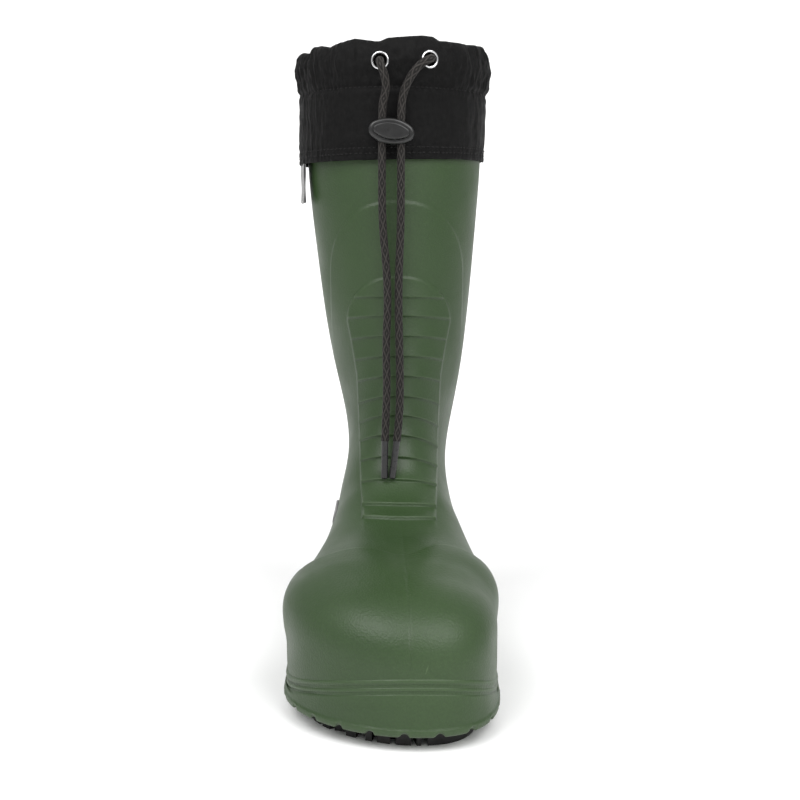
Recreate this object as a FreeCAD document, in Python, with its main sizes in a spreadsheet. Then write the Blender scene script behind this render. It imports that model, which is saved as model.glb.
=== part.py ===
"""Insulated hunting boot, right foot: moulded shell, removable liner, nylon snow collar
with a drawcord and cord lock, rubber outsole pads.

Frame: +Z up, toe towards -Y, medial side (the side of the other foot) towards +X.
Origin: on the ground, below the middle of the boot. All lengths are in millimetres.
"""
import FreeCAD, Part
import math
import os

from FreeCAD import Placement, Rotation, Vector

doc = FreeCAD.newDocument("hunting_boot")

# ---------------------------------------------------------------- driving dimensions

DIMENSIONS = {
    # moulded shell
    "shell_top": 358.0,
    "wall": 6.0,
    "cavity_floor": 30.0,
    "sole_bottom": 9.0,
    "sole_top": 40.0,
    "sole_lip": 0.2,
    # rubber outsole pads
    "tread_depth": 5.5,
    "tread_inset": 11.0,
    "tread_groove": 3.6,
    "edge_notch": 3.0,
    # removable liner and footbed
    "layer_gap": 0.3,
    "liner_gap": 0.8,
    "felt_thick": 3.0,
    "foil_thick": 0.8,
    "pile_thick": 3.0,
    "liner_top": 345.0,
    "binding_height": 10.0,
    "footbed_thick": 5.0,
    "loop_width": 18.0,
    "loop_radius": 5.0,
    "loop_straight": 14.0,
    "strap_thick": 1.2,
    # snow collar
    "collar_bottom": 321.0,
    "collar_top": 397.0,
    "cloth_thick": 1.2,
    "lining_inset": 12.0,
    "lining_thick": 1.0,
    "thread_size": 0.6,
    "channel_seam": 366.0,
    "hem_seam_low": 324.5,
    "hem_seam_high": 328.5,
    # eyelets and drawcord
    "cord_diameter": 5.0,
    "eyelet_radius": 5.75,
    "eyelet_bore": 3.8,
    "eyelet_barrel": 4.3,
    "eyelet_flange": 0.9,
    "washer_thick": 0.4,
    "tip_diameter": 4.3,
    "tip_round": 0.8,
    # cord lock
    "lock_half_width": 14.3,
    "lock_half_height": 8.1,
    "lock_depth": 9.7,
    "lock_end_radius": 5.6,
    "lock_round": 1.8,
    "lock_tilt": 8.0,
    "lock_bore": 5.7,
    "pocket_margin": 2.7,
    "cavity_depth": 8.3,
    "button_clearance": 0.25,
    "button_length": 8.8,
    "button_travel": 3.2,
    "button_round": 0.9,
    "spring_radius": 1.65,
    "spring_wire": 0.5,
    "spring_pitch": 1.35,
    "spring_pocket": 2.2,
    # label tab and ankle badge
    "label_width": 26.0,
    "label_drop": 26.0,
    "label_thick": 1.5,
    "label_turn": 8.0,
    "badge_half_width": 12.0,
    "badge_half_height": 8.0,
    "badge_thick": 1.6,
}

sheet = doc.addObject("Spreadsheet::Sheet", "Sizes")
for row, (alias, value) in enumerate(DIMENSIONS.items(), start=1):
    sheet.set("A%d" % row, alias)
    sheet.set("B%d" % row, "%g" % value)
    sheet.setAlias("B%d" % row, alias)
doc.recompute()


def size(alias):
    """A driving dimension, read back from the sheet."""
    return float(sheet.get(alias))


def bind(target, **expressions):
    """Bind properties of an object to formulas over the sheet's cells."""
    for prop, formula in expressions.items():
        target.setExpression(prop, formula)


# ---------------------------------------------------------------- shape of the foot and shaft

# The boot's form is a row of sections that starts upright across the toes and leans back
# until it lies level in the shaft. Each section has a front point, a back point, a lateral
# and a medial edge, and the roundness (superellipse power) of its front and back halves.
TOE_TIP_Y = -160.0
TOE_ROOT_Y = -86.0
TOE_NOSE_Z = 40.0
TOE_CROWN_Z = 86.0
TOE_LATERAL_X = -61.8
TOE_MEDIAL_X = 60.0
TOE_SWING_X = 15.0
PLAN_POWER = 2.15
CROWN_POWER = 2.5
TOE_FRONT_POWER = 2.5
TOE_BACK_POWER = 2.8
TOE_SECTIONS = 7
FORM_BOTTOM_Z = 14.0
TIP_INSET_SHARE = 1.3
TOE_BOTTOM_LIFT = 8.0
LEAST_NOSE_HEIGHT = 9.0

FOOT_SECTIONS = [
    # front y, z, back y, z, lateral x, medial x, front power, back power
    (-66, 88.5, -66, 14, -60.6, 60.3, 2.45, 2.8),
    (-44, 91.5, -42, 14, -56.3, 58.3, 2.35, 2.8),
    (-24, 97.5, -12, 14, -51.0, 54.5, 2.25, 2.8),
    (-8, 106, 28, 14, -46.0, 50.5, 2.15, 2.8),
    (3, 116, 75, 14, -42.5, 46.5, 2.1, 2.8),
    (10, 127, 122, 16, -39.0, 42.5, 2.1, 2.7),
    (14, 139, 151, 34, -35.0, 38.5, 2.1, 2.5),
    (16, 152, 154.5, 60, -32.0, 36.5, 2.05, 2.3),
    (17, 168, 150, 92, -31.0, 37.5, 2.0, 2.1),
    (17.5, 186, 145, 122, -33.5, 41.5, 2.0, 2.0),
]
SHAFT_SECTIONS = [
    (17.8, 208, 144, 155, -39.5, 46.5, 2.0, 2.0),
    (18, 235, 147, 196, -46.0, 50.8, 2.0, 2.0),
    (17.5, 265, 151, 240, -51.0, 54.3, 2.0, 2.0),
    (17, 296, 154, 285, -55.5, 57.4, 2.0, 2.0),
    (17, 322, 155, 322, -58.0, 59.4, 2.0, 2.0),
]
COLLAR_SECTIONS = [
    # z, front y, back y, lateral x, medial x
    (321.0, 13.6, 159.0, -63.6, 61.2),
    (345.0, 13.2, 160.0, -63.8, 62.8),
    (366.0, 12.6, 160.5, -63.6, 63.0),
    (382.0, 10.4, 162.3, -65.4, 65.4),
    (397.0, 12.6, 160.5, -63.4, 63.8),
]
SECTION_POINTS = 36
# a section that leans less than this is level, and has no lower end
LEAST_LEAN = 0.05
# how far a cutting shape runs on past what it cuts
RUN_PAST = 4.0


def toe_section(step, inset, floor):
    """One upright section across the toe box, rounded to a point at the tip."""
    turn = step * math.pi / 2 / TOE_SECTIONS
    reach = math.cos(turn) ** (2 / PLAN_POWER)
    spread = math.sin(turn) ** (2 / PLAN_POWER)
    tip = TOE_TIP_Y + TIP_INSET_SHARE * inset
    y = TOE_ROOT_Y - (TOE_ROOT_Y - tip) * reach
    rise = (1 - reach ** CROWN_POWER) ** (1 / CROWN_POWER)
    crown = TOE_CROWN_Z - inset
    nose = min(TOE_NOSE_Z, crown)
    top = nose + (crown - nose) * rise
    lift = TOE_BOTTOM_LIFT if floor < nose - LEAST_NOSE_HEIGHT else 0
    bottom = floor + lift * (1 - spread)
    centre = (TOE_LATERAL_X + TOE_MEDIAL_X) / 2 + TOE_SWING_X * reach ** 2
    half = ((TOE_MEDIAL_X - TOE_LATERAL_X) / 2 - inset) * spread
    return (y, top, y, bottom, centre - half, centre + half, TOE_FRONT_POWER, TOE_BACK_POWER)


def inner_section(section, inset, floor):
    """A section drawn in by the inset, with its lower end held at the floor."""
    front_y, front_z, back_y, back_z, lateral, medial, front_power, back_power = section
    length = math.hypot(back_y - front_y, front_z - back_z)
    lean_y = (front_y - back_y) / length
    lean_z = (front_z - back_z) / length
    lift = max(inset, (floor - back_z) / lean_z) if lean_z > LEAST_LEAN else inset
    return (front_y - inset * lean_y, front_z - inset * lean_z,
            back_y + lift * lean_y, back_z + lift * lean_z,
            lateral + inset, medial - inset, front_power, back_power)


def section_points(section):
    """Points round one section, starting at its medial edge."""
    front_y, front_z, back_y, back_z, lateral, medial, front_power, back_power = section
    centre = Vector((lateral + medial) / 2, (front_y + back_y) / 2, (front_z + back_z) / 2)
    side = Vector((medial - lateral) / 2, 0, 0)
    ahead = Vector(0, (front_y - back_y) / 2, (front_z - back_z) / 2)
    points = []
    for index in range(SECTION_POINTS):
        angle = 2 * math.pi * index / SECTION_POINTS
        across, along = math.cos(angle), math.sin(angle)
        power = front_power if along >= 0 else back_power
        points.append(centre
                      + side * math.copysign(abs(across) ** (2 / power), across)
                      + ahead * math.copysign(abs(along) ** (2 / power), along))
    return points


def closed_curve(points):
    curve = Part.BSplineCurve()
    curve.interpolate(Points=points, PeriodicFlag=True)
    return Part.Wire(curve.toShape())


def skinned_solid(sections):
    """A solid under one smooth surface through the sections, closed by a flat face at each end."""
    rings = [section_points(section) for section in sections]
    surface = Part.BSplineSurface()
    surface.interpolate([ring + ring[:1] for ring in rings])
    first, last, _, _ = surface.bounds()
    faces = [surface.toShape()]
    faces += [Part.Face(Part.Wire(surface.uIso(end).toShape())) for end in (first, last)]
    shell = Part.makeShell(faces)
    shell.sewShape()
    return Part.Solid(shell if shell.ShapeType == "Shell" else shell.Shells[0])


def boot_form(inset, floor, top):
    """The solid inside the boot's outer surface, drawn in by the inset, up to a level top."""
    sections = [toe_section(step, inset, floor) for step in range(1, TOE_SECTIONS + 1)]
    sections += [inner_section(row, inset, floor) for row in FOOT_SECTIONS + SHAFT_SECTIONS]
    front_y, _, back_y, _, lateral, medial, front_power, back_power = sections[-1]
    sections.append((front_y, top, back_y, top, lateral, medial, front_power, back_power))
    return skinned_solid(sections)


def collar_limits(level):
    """Front, back, lateral and medial limits of the collar's outside at one height."""
    rows = COLLAR_SECTIONS
    for low, high in zip(rows, rows[1:]):
        if level <= high[0]:
            share = (level - low[0]) / (high[0] - low[0])
            return [a + (b - a) * share for a, b in zip(low[1:], high[1:])]
    return list(rows[-1][1:])


def collar_form(inset, bottom, top):
    """The solid inside the collar's outside, drawn in by the inset, between two levels.

    The cloth runs straight between its sections.
    """
    levels = [bottom] + [row[0] for row in COLLAR_SECTIONS if bottom < row[0] < top] + [top]
    wires = []
    for level in levels:
        front, back, lateral, medial = collar_limits(level)
        section = (front + inset, level, back - inset, level, lateral + inset, medial - inset, 2.0, 2.0)
        wires.append(closed_curve(section_points(section)))
    return Part.makeLoft(wires, True, True)


def collar_point(x, level):
    """The point on the collar's front at one x, and the outward direction there."""
    front, back, lateral, medial = collar_limits(level)
    half_x, half_y = (medial - lateral) / 2, (back - front) / 2
    share = (x - (lateral + medial) / 2) / half_x
    y = (front + back) / 2 - half_y * math.sqrt(1 - share ** 2)
    outward = Vector(share / half_x, -math.sqrt(1 - share ** 2) / half_y, 0)
    return Vector(x, y, level), outward.normalize()


# ---------------------------------------------------------------- document helpers

pieces = {}


def keep(obj, node):
    """Give an object the name of its piece and list it for writing."""
    obj.Label = node
    pieces[node] = obj
    return obj


def shaped(name, shape):
    """An object whose shape comes from Part's own functions."""
    obj = doc.addObject("Part::Feature", name)
    obj.Shape = shape
    return obj


def cut(name, base, tool):
    obj = doc.addObject("Part::Cut", name)
    obj.Base = base
    obj.Tool = tool
    return obj


def common(name, base, tool):
    obj = doc.addObject("Part::Common", name)
    obj.Base = base
    obj.Tool = tool
    return obj


def fuse(name, members):
    obj = doc.addObject("Part::MultiFuse", name)
    obj.Shapes = members
    return obj


def layer(name, outer, inner):
    """The wall between an outer form and an inner form."""
    return keep(cut(name, shaped(name + "_outside", outer), shaped(name + "_inside", inner)), name)


def box(name, centre, length, width, height):
    obj = doc.addObject("Part::Box", name)
    obj.Length, obj.Width, obj.Height = length, width, height
    obj.Placement.Base = centre - Vector(length / 2, width / 2, height / 2)
    return obj


def turned_body(node, profile, placement):
    """A piece turned about its own Z, from the outline of half its section."""
    body = keep(doc.addObject("PartDesign::Body", node), node)
    sketch = new_sketch(body, node + "_profile", "XZ_Plane")
    close_profile(sketch, profile)
    turned = body.newObject("PartDesign::Revolution", node + "_turned")
    turned.Profile = sketch
    turned.ReferenceAxis = (sketch, ["V_Axis"])
    turned.Angle = 360
    body.Placement = placement
    return body


def origin_plane(body, role):
    return next(part for part in body.Origin.OriginFeatures if part.Role == role)


def new_sketch(body, name, role):
    sketch = body.newObject("Sketcher::SketchObject", name)
    sketch.AttachmentSupport = [(origin_plane(body, role), "")]
    sketch.MapMode = "FlatFace"
    return sketch


def close_profile(sketch, corners):
    """Draw a closed outline of straight lines."""
    for start, end in zip(corners, corners[1:] + corners[:1]):
        sketch.addGeometry(Part.LineSegment(Vector(*start, 0), Vector(*end, 0)))


# ---------------------------------------------------------------- shell and sole

# The sole's plan: the toe is the toe box's own outline, the heel is a rounded end.
LATERAL_EDGE = [(-60, -61.4), (-30, -55.5), (0, -49.0), (30, -44.0), (60, -41.5), (90, -40.5)]
MEDIAL_EDGE = [(90, 42.5), (60, 44.5), (30, 48.0), (0, 53.0), (-30, 58.0), (-60, 60.4)]
HEEL_BACK_Y = 157.0
HEEL_ROOT_Y = 110.0
HEEL_CENTRE_X = 1.0
HEEL_HALF = 41.0
HEEL_POWER = 2.3


def sole_wire(inset, level):
    """The sole's plan outline at one level, drawn in by the inset."""
    points = []
    for step in range(-TOE_SECTIONS, TOE_SECTIONS + 1):
        turn = abs(step) * math.pi / 2 / TOE_SECTIONS
        reach = math.cos(turn) ** (2 / PLAN_POWER)
        spread = math.copysign(math.sin(turn) ** (2 / PLAN_POWER), step)
        centre = (TOE_LATERAL_X + TOE_MEDIAL_X) / 2 + TOE_SWING_X * reach ** 2
        half = (TOE_MEDIAL_X - TOE_LATERAL_X) / 2 - inset
        y = TOE_ROOT_Y - (TOE_ROOT_Y - TOE_TIP_Y - inset) * reach
        points.append(Vector(centre - half * spread, y, level))
    points += [Vector(x + inset, y, level) for y, x in LATERAL_EDGE]
    for step in range(9):
        turn = math.pi * step / 8
        across, back = -math.cos(turn), math.sin(turn)
        x = HEEL_CENTRE_X + (HEEL_HALF - inset) * math.copysign(abs(across) ** (2 / HEEL_POWER), across)
        y = HEEL_ROOT_Y + (HEEL_BACK_Y - HEEL_ROOT_Y - inset) * back ** (2 / HEEL_POWER)
        points.append(Vector(x, y, level))
    points += [Vector(x - inset, y, level) for y, x in MEDIAL_EDGE]
    return closed_curve(points)


def sole_slab(name, inset, bottom, top):
    face = Part.Face(sole_wire(inset, bottom))
    return shaped(name, face.extrude(Vector(0, 0, top - bottom)))


def make_shell():
    form = shaped("shell_form", boot_form(0, FORM_BOTTOM_Z, size("shell_top")))
    slab = sole_slab("sole_slab", -size("sole_lip"), size("sole_bottom"), size("sole_top"))
    cavity_top = size("shell_top") + RUN_PAST
    cavity = shaped("shell_cavity", boot_form(size("wall"), size("cavity_floor"), cavity_top))
    solid = cut("shell_open", fuse("shell_solid", [form, slab]), cavity)
    ellipse = Part.Ellipse(Vector(0, 0, 0), size("badge_half_width") + BADGE_GAP,
                           size("badge_half_height") + BADGE_GAP)
    prism = Part.Face(Part.Wire(ellipse.toShape())).extrude(Vector(0, 0, 20))
    recess = shaped("badge_recess", prism)
    recess.Placement = badge_placement(BADGE_CENTRE)
    keep(cut("shell", solid, recess), "shell")


# ---------------------------------------------------------------- outsole pads

FOREFOOT_SPAN = (-170, 22)
HEEL_SPAN = (64, 170)
FOREFOOT_GROOVES_Y = [-142, -124, -106, -88, -70, -52, -34, -16, 2]
HEEL_GROOVES_Y = [78, 96, 114, 132]
COLUMN_GROOVES_X = [-17, 17]
COLUMN_STOP = 10.0
CHEVRON_DEG = 22.0
NOTCH_LENGTH = 12.0
# centre y, radius, first heading, last heading, count
TOE_NOTCHES = (-98, 41.5, -178, -2, 15)
HEEL_NOTCHES = (112, 24.5, 20, 160, 7)
# wider and longer than the whole boot
ALL_ACROSS = 200.0
ALL_ALONG = 400.0


def edge_notches(prefix, centre_y, radius, first, last, count):
    """Short grooves across the pad's rim, fanned round a centre."""
    tools = []
    for index in range(count):
        heading = first + (last - first) * index / (count - 1)
        tool = doc.addObject("Part::Box", "%s_%d" % (prefix, index))
        bind(tool, Length="%g mm" % NOTCH_LENGTH, Width="Sizes.edge_notch",
             Height="Sizes.tread_depth + 1")
        tool.Placement = Placement(
            Vector(0, centre_y, -1), Rotation(Vector(0, 0, 1), heading)
        ).multiply(Placement(Vector(radius, -size("edge_notch") / 2, 0), Rotation()))
        tools.append(tool)
    return tools


def make_outsole_pad(node, span, grooves_y, notches):
    """One rubber pad: the plan outline between two levels across, cut into tread lugs."""
    slab = sole_slab(node + "_plan", size("tread_inset"), 0, size("sole_bottom"))
    middle = (span[0] + span[1]) / 2
    window = box(node + "_window", Vector(0, middle, 0), ALL_ACROSS,
               span[1] - span[0], 4 * size("sole_bottom"))
    blank = common(node + "_blank", slab, window)
    depth = size("tread_depth")
    tools = list(notches)
    for index, y in enumerate(grooves_y):
        for side, heading in (("medial", CHEVRON_DEG), ("lateral", 180 - CHEVRON_DEG)):
            groove = doc.addObject("Part::Box", "%s_groove_%s_%d" % (node, side, index))
            bind(groove, Length="100 mm", Width="Sizes.tread_groove", Height="Sizes.tread_depth + 1")
            start = Placement(Vector(0, y, -1), Rotation(Vector(0, 0, 1), heading))
            groove.Placement = start.multiply(Placement(Vector(-2, -size("tread_groove") / 2, 0), Rotation()))
            tools.append(groove)
    for index, x in enumerate(COLUMN_GROOVES_X):
        tools.append(box("%s_column_%d" % (node, index), Vector(x, middle, depth / 2 - 0.5),
                         size("tread_groove"), span[1] - span[0] - 2 * COLUMN_STOP, depth + 1))
    keep(cut(node, blank, fuse(node + "_grooves", tools)), node)


# ---------------------------------------------------------------- liner and footbed


def make_liner():
    """Felt, reflective foil and pile, one inside the other, then the footbed on top."""
    inset = size("wall") + size("liner_gap") - size("layer_gap")
    floor = size("cavity_floor")
    top = size("liner_top")
    for node, thick in (("liner_felt", size("felt_thick")),
                        ("liner_foil", size("foil_thick")),
                        ("liner_pile", size("pile_thick"))):
        inset += size("layer_gap")
        floor += size("layer_gap")
        outer = boot_form(inset, floor, top)
        inset += thick
        floor += thick
        layer(node, outer, boot_form(inset, floor, top + RUN_PAST))
    return inset, floor


def make_binding(inner_inset):
    """The tape round the liner's top edge, an upside-down channel."""
    base = size("liner_top") + size("layer_gap")
    outer = boot_form(size("wall") + size("liner_gap"), size("cavity_floor"), base + size("binding_height"))
    hole = boot_form(inner_inset, size("cavity_floor"), base + size("binding_height") + RUN_PAST)
    wall = cut("binding_wall", shaped("binding_outside", outer), shaped("binding_inside", hole))
    window = box("binding_window", Vector(0, 0, base + size("binding_height") / 2),
                 ALL_ACROSS, ALL_ALONG, size("binding_height"))
    keep(common("liner_binding", wall, window), "liner_binding")


FOOTBED_SIDE_GAP = 1.2
FOOTBED_LIFT = 0.6


def make_footbed(inset, floor):
    """The removable insole, lying on the pile."""
    blank = shaped("footbed_blank", boot_form(inset + FOOTBED_SIDE_GAP, floor, size("liner_top")))
    middle = floor + FOOTBED_LIFT + size("footbed_thick") / 2
    window = box("footbed_window", Vector(0, 0, middle), ALL_ACROSS, ALL_ALONG, size("footbed_thick"))
    keep(common("footbed", blank, window), "footbed")


PULL_LOOP_Y = 134.0
PULL_LOOP_Z = 346.0


def make_pull_loop():
    """A closed loop of webbing on the back of the liner's rim."""
    body = keep(doc.addObject("PartDesign::Body", "liner_pull_loop"), "liner_pull_loop")
    sketch = new_sketch(body, "pull_loop_profile", "YZ_Plane")
    straight = size("loop_straight")
    for radius in (size("loop_radius"), size("loop_radius") - size("strap_thick")):
        low, high = Vector(0, 0, 0), Vector(0, straight, 0)
        sketch.addGeometry(Part.ArcOfCircle(Part.Circle(low, Vector(0, 0, 1), radius), math.pi, 2 * math.pi))
        sketch.addGeometry(Part.ArcOfCircle(Part.Circle(high, Vector(0, 0, 1), radius), 0, math.pi))
        for x in (-radius, radius):
            sketch.addGeometry(Part.LineSegment(Vector(x, 0, 0), Vector(x, straight, 0)))
    pad = body.newObject("PartDesign::Pad", "pull_loop_strap")
    pad.Profile = sketch
    pad.Midplane = True
    bind(pad, Length="Sizes.loop_width")
    body.Placement.Base = Vector(0, PULL_LOOP_Y, PULL_LOOP_Z + size("loop_radius"))


# ---------------------------------------------------------------- collar

EYELETS = {"left": (-8.1, 381.5), "right": (23.1, 382.7)}
# how deep an eyelet's flange sits in the cloth, and how long the tools are that cut its seats
EYELET_SEAT = 0.35
EYELET_TOOL = 12.0
HOLE_CLEARANCE = 0.1
SEAT_CLEARANCE = 0.3
# how far a row of thread stands off the cloth, and how far its inner cut runs past it
THREAD_GAP = 0.05
THREAD_PAST = 0.2
# widths left flat or sloping on an eyelet's flange, and the slack round its washer
EYELET_SLOPE = 0.8
EYELET_LIP = 0.6
WASHER_INSET = 0.4
WASHER_SLACK = 0.08
WASHER_LIFT = 0.02


def facing(point, direction):
    """A placement whose local Z points along the direction."""
    return Placement(point, Rotation(Vector(0, 0, 1), direction))


def make_collar():
    """Outer cloth with a closed hem at the top, the lining inside it, and the threads."""
    bottom, top = size("collar_bottom"), size("collar_top")
    cloth = size("cloth_thick")
    lining = size("lining_inset")
    outside = shaped("collar_outside", collar_form(0, bottom, top))
    hollow = shaped("collar_hollow", collar_form(cloth, bottom - RUN_PAST, top - cloth))
    mouth = shaped("collar_mouth", collar_form(lining, top - RUN_PAST, top + RUN_PAST))
    tools = [hollow, mouth]
    for side, (x, level) in EYELETS.items():
        point, outward = collar_point(x, level)
        hole = doc.addObject("Part::Cylinder", "eyelet_hole_" + side)
        bind(hole, Radius="Sizes.eyelet_barrel + %g" % HOLE_CLEARANCE, Height="%g mm" % EYELET_TOOL)
        hole.Placement = facing(point - outward * EYELET_TOOL / 2, outward)
        seat = doc.addObject("Part::Cylinder", "eyelet_seat_" + side)
        bind(seat, Radius="Sizes.eyelet_radius + %g" % SEAT_CLEARANCE, Height="%g mm" % RUN_PAST)
        seat.Placement = facing(point - outward * EYELET_SEAT, outward)
        washer_seat = doc.addObject("Part::Cylinder", "washer_seat_" + side)
        bind(washer_seat, Radius="Sizes.eyelet_radius", Height="%g mm" % RUN_PAST)
        depth = size("cloth_thick") + RUN_PAST + EYELET_SEAT - HOLE_CLEARANCE
        washer_seat.Placement = facing(point - outward * depth, outward)
        tools += [hole, seat, washer_seat]
    keep(cut("collar_outer", outside, fuse("collar_tools", tools)), "collar_outer")
    inside_bottom = size("shell_top") + size("layer_gap")
    inside_top = top - cloth - size("layer_gap")
    layer("collar_lining", collar_form(lining, inside_bottom, inside_top),
          collar_form(lining + size("lining_thick"), inside_bottom - RUN_PAST, inside_top + RUN_PAST))


def thread_band(name, level):
    """One row of stitching, a thin raised line round the collar."""
    thread = size("thread_size")
    outer = collar_form(-thread - THREAD_GAP, level, level + thread)
    inner = collar_form(-THREAD_GAP, level - THREAD_PAST, level + thread + THREAD_PAST)
    return cut(name, shaped(name + "_outside", outer), shaped(name + "_inside", inner))


def make_threads():
    rows = [thread_band("hem_row_low", size("hem_seam_low")),
            thread_band("hem_row_high", size("hem_seam_high"))]
    keep(fuse("collar_hem_stitching", rows), "collar_hem_stitching")
    keep(thread_band("channel_stitching", size("channel_seam")), "channel_stitching")


def make_eyelet(side):
    """Rolled metal eyelet with its barrel through the cloth, and the washer behind it."""
    x, level = EYELETS[side]
    point, outward = collar_point(x, level)
    rim, bore, barrel = size("eyelet_radius"), size("eyelet_bore"), size("eyelet_barrel")
    flange = size("eyelet_flange")
    back = -EYELET_SEAT
    reach = size("cloth_thick") + size("washer_thick") + EYELET_SEAT

    turned_body("eyelet_" + side, [
        (bore, -reach), (barrel, -reach), (barrel, back), (rim, back), (rim, back + flange * 0.5),
        (rim - EYELET_SLOPE, back + flange), (bore + EYELET_LIP, back + flange),
        (bore, back + flange * 0.5),
    ], facing(point, outward))

    washer = keep(doc.addObject("PartDesign::Body", "eyelet_washer_" + side), "eyelet_washer_" + side)
    ring = new_sketch(washer, "washer_profile_" + side, "XY_Plane")
    for radius in (rim - WASHER_INSET, barrel + WASHER_SLACK):
        ring.addGeometry(Part.Circle(Vector(0, 0, 0), Vector(0, 0, 1), radius))
    pad = washer.newObject("PartDesign::Pad", "washer_plate_" + side)
    pad.Profile = ring
    bind(pad, Length="Sizes.washer_thick")
    washer.Placement = facing(point - outward * (reach - WASHER_LIFT), outward)


# ---------------------------------------------------------------- cords

TIP_ENDS = {"left": (-5.5, 1.2, 117.8), "right": (-0.6, 1.2, 117.8)}
CORD_ROUTES = {
    "left": [(-8.6, 4.6, 381.4), (-7.4, 1.0, 377.2), (-4.7, 2.2, 370.2), (-4.2, 5.6, 362.6),
             (-6.9, 7.7, 354.5), (-6.9, 7.7, 281.0), (-4.2, 8.0, 255.0), (-3.2, 7.6, 230.0),
             (-4.5, 7.9, 203.0), (-3.8, 7.3, 176.0), (-4.7, 6.0, 155.0), (-5.1, 4.3, 142.0)],
    "right": [(25.0, 8.8, 382.9), (22.0, 4.2, 381.4), (15.6, 3.2, 377.2), (10.4, 4.8, 370.2),
              (6.8, 6.8, 362.4), (5.0, 7.7, 353.8), (5.0, 7.7, 281.0), (3.9, 8.0, 255.0),
              (3.4, 7.6, 230.0), (4.1, 7.9, 203.0), (4.6, 7.3, 176.0), (4.0, 6.0, 155.0),
              (2.4, 4.3, 142.0)],
}
CORD_START_DEPTH = 2.2
HEM_CORD_INSET = 5.6
HEM_CORD_POINTS = 15
HEM_CORD_START_DEG = -108
HEM_CORD_SWEEP_DEG = 308
HEM_CORD_LEVEL = 382.0
# depth behind the cloth and distance away from the other eyelet, at each end of the held cord
HEM_CORD_LEAD = [(CORD_START_DEPTH, 0), (5.4, 0.3), (7.6, 3.8)]


def arc_path(points):
    """Straight runs joined by tangent arcs as large as the runs allow, with their radii."""
    corners = [Vector(*point) for point in points]
    edges = []
    radii = []
    start = corners[0]
    for before, corner, after in zip(corners, corners[1:], corners[2:]):
        come = (corner - before).normalize()
        leave = (after - corner).normalize()
        turn = come.getAngle(leave)
        reach = 0.45 * min((corner - before).Length, (after - corner).Length)
        entry = corner - come * reach
        finish = corner + leave * reach
        radius = reach / math.tan(turn / 2)
        bulge = (leave - come).normalize() * (radius / math.cos(turn / 2) - radius)
        edges.append(Part.LineSegment(start, entry).toShape())
        edges.append(Part.Arc(entry, corner + bulge, finish).toShape())
        radii.append(radius)
        start = finish
    edges.append(Part.LineSegment(start, corners[-1]).toShape())
    return Part.Wire(edges), radii


def cord_tube(node, points, diameter):
    """A round cord along a route, checked against its section times its length."""
    path, radii = arc_path(points)
    first, second = Vector(*points[0]), Vector(*points[1])
    section = Part.Wire(Part.Circle(first, second - first, diameter / 2).toShape())
    tube = path.makePipeShell([section], True, False)
    expected = math.pi * diameter ** 2 / 4 * path.Length
    print("%s: length %.1f, radii %s, volume %.4f of section x length" % (
        node, path.Length, " ".join("%.1f" % radius for radius in radii), tube.Volume / expected))
    keep(shaped(node, tube), node)


def eyelet_start(side, depth):
    point, outward = collar_point(*EYELETS[side])
    return point - outward * depth


def make_cords():
    diameter = size("cord_diameter")
    for side, route in CORD_ROUTES.items():
        cord_tube("cord_" + side, [tuple(eyelet_start(side, CORD_START_DEPTH))] + route, diameter)

    front, back, lateral, medial = collar_limits(HEM_CORD_LEVEL)
    half_x = (medial - lateral) / 2 - HEM_CORD_INSET
    half_y = (back - front) / 2 - HEM_CORD_INSET
    centre = Vector((medial + lateral) / 2, (back + front) / 2, HEM_CORD_LEVEL)
    ring = []
    for index in range(HEM_CORD_POINTS):
        turned = HEM_CORD_SWEEP_DEG * index / (HEM_CORD_POINTS - 1)
        angle = math.radians(HEM_CORD_START_DEG - turned)
        ring.append(centre + Vector(half_x * math.cos(angle), half_y * math.sin(angle), 0))
    route = hem_cord_lead("left", -1) + ring + hem_cord_lead("right", 1)[::-1]
    cord_tube("drawcord_in_hem", [tuple(point) for point in route], diameter)


def hem_cord_lead(side, away):
    """The held cord's bend from the hem out through one eyelet."""
    point, outward = collar_point(*EYELETS[side])
    along = Vector(-outward.y, outward.x, 0) * away
    return [point - outward * depth + along * shift for depth, shift in HEM_CORD_LEAD]


def make_cord_tips():
    """Moulded tips on the free ends of the drawcord."""
    radius, rounding = size("tip_diameter") / 2, size("tip_round")
    for side, end in TIP_ENDS.items():
        top, bottom = Vector(*CORD_ROUTES[side][-1]), Vector(*end)
        length = (bottom - top).Length
        turned_body("cord_tip_" + side, [
            (0, 0), (radius, 0), (radius, length - rounding), (radius - rounding, length), (0, length),
        ], facing(top, bottom - top))


# ---------------------------------------------------------------- cord lock

LOCK_CENTRE = Vector(-0.95, 12.7, 337.6)
CORD_X = (-6.9, 5.0)
CORD_Y = 7.7
LOCK_PLATE_Y = 1.5


def oval_sketch(body, name, margin, offset=0.0):
    """An oval of four tangent arcs, the lock's outline drawn in by the margin."""
    sketch = new_sketch(body, name, "XY_Plane")
    sketch.AttachmentOffset = Placement(Vector(0, 0, offset), Rotation())
    half_width = size("lock_half_width") - margin
    half_height = size("lock_half_height") - margin
    end = size("lock_end_radius") - margin
    reach = half_width - end
    flank = (reach ** 2 + half_height ** 2 - end ** 2) / (2 * (half_height - end))
    joint = math.atan2(flank - half_height, reach)
    arcs = [(reach, 0, end, -joint), (0, half_height - flank, flank, joint),
            (-reach, 0, end, math.pi - joint), (0, flank - half_height, flank, math.pi + joint)]
    finish = [joint, math.pi - joint, math.pi + joint, 2 * math.pi - joint]
    for (x, y, radius, start), stop in zip(arcs, finish):
        circle = Part.Circle(Vector(x, y, 0), Vector(0, 0, 1), radius)
        sketch.addGeometry(Part.ArcOfCircle(circle, start, stop))
    return sketch


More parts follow.
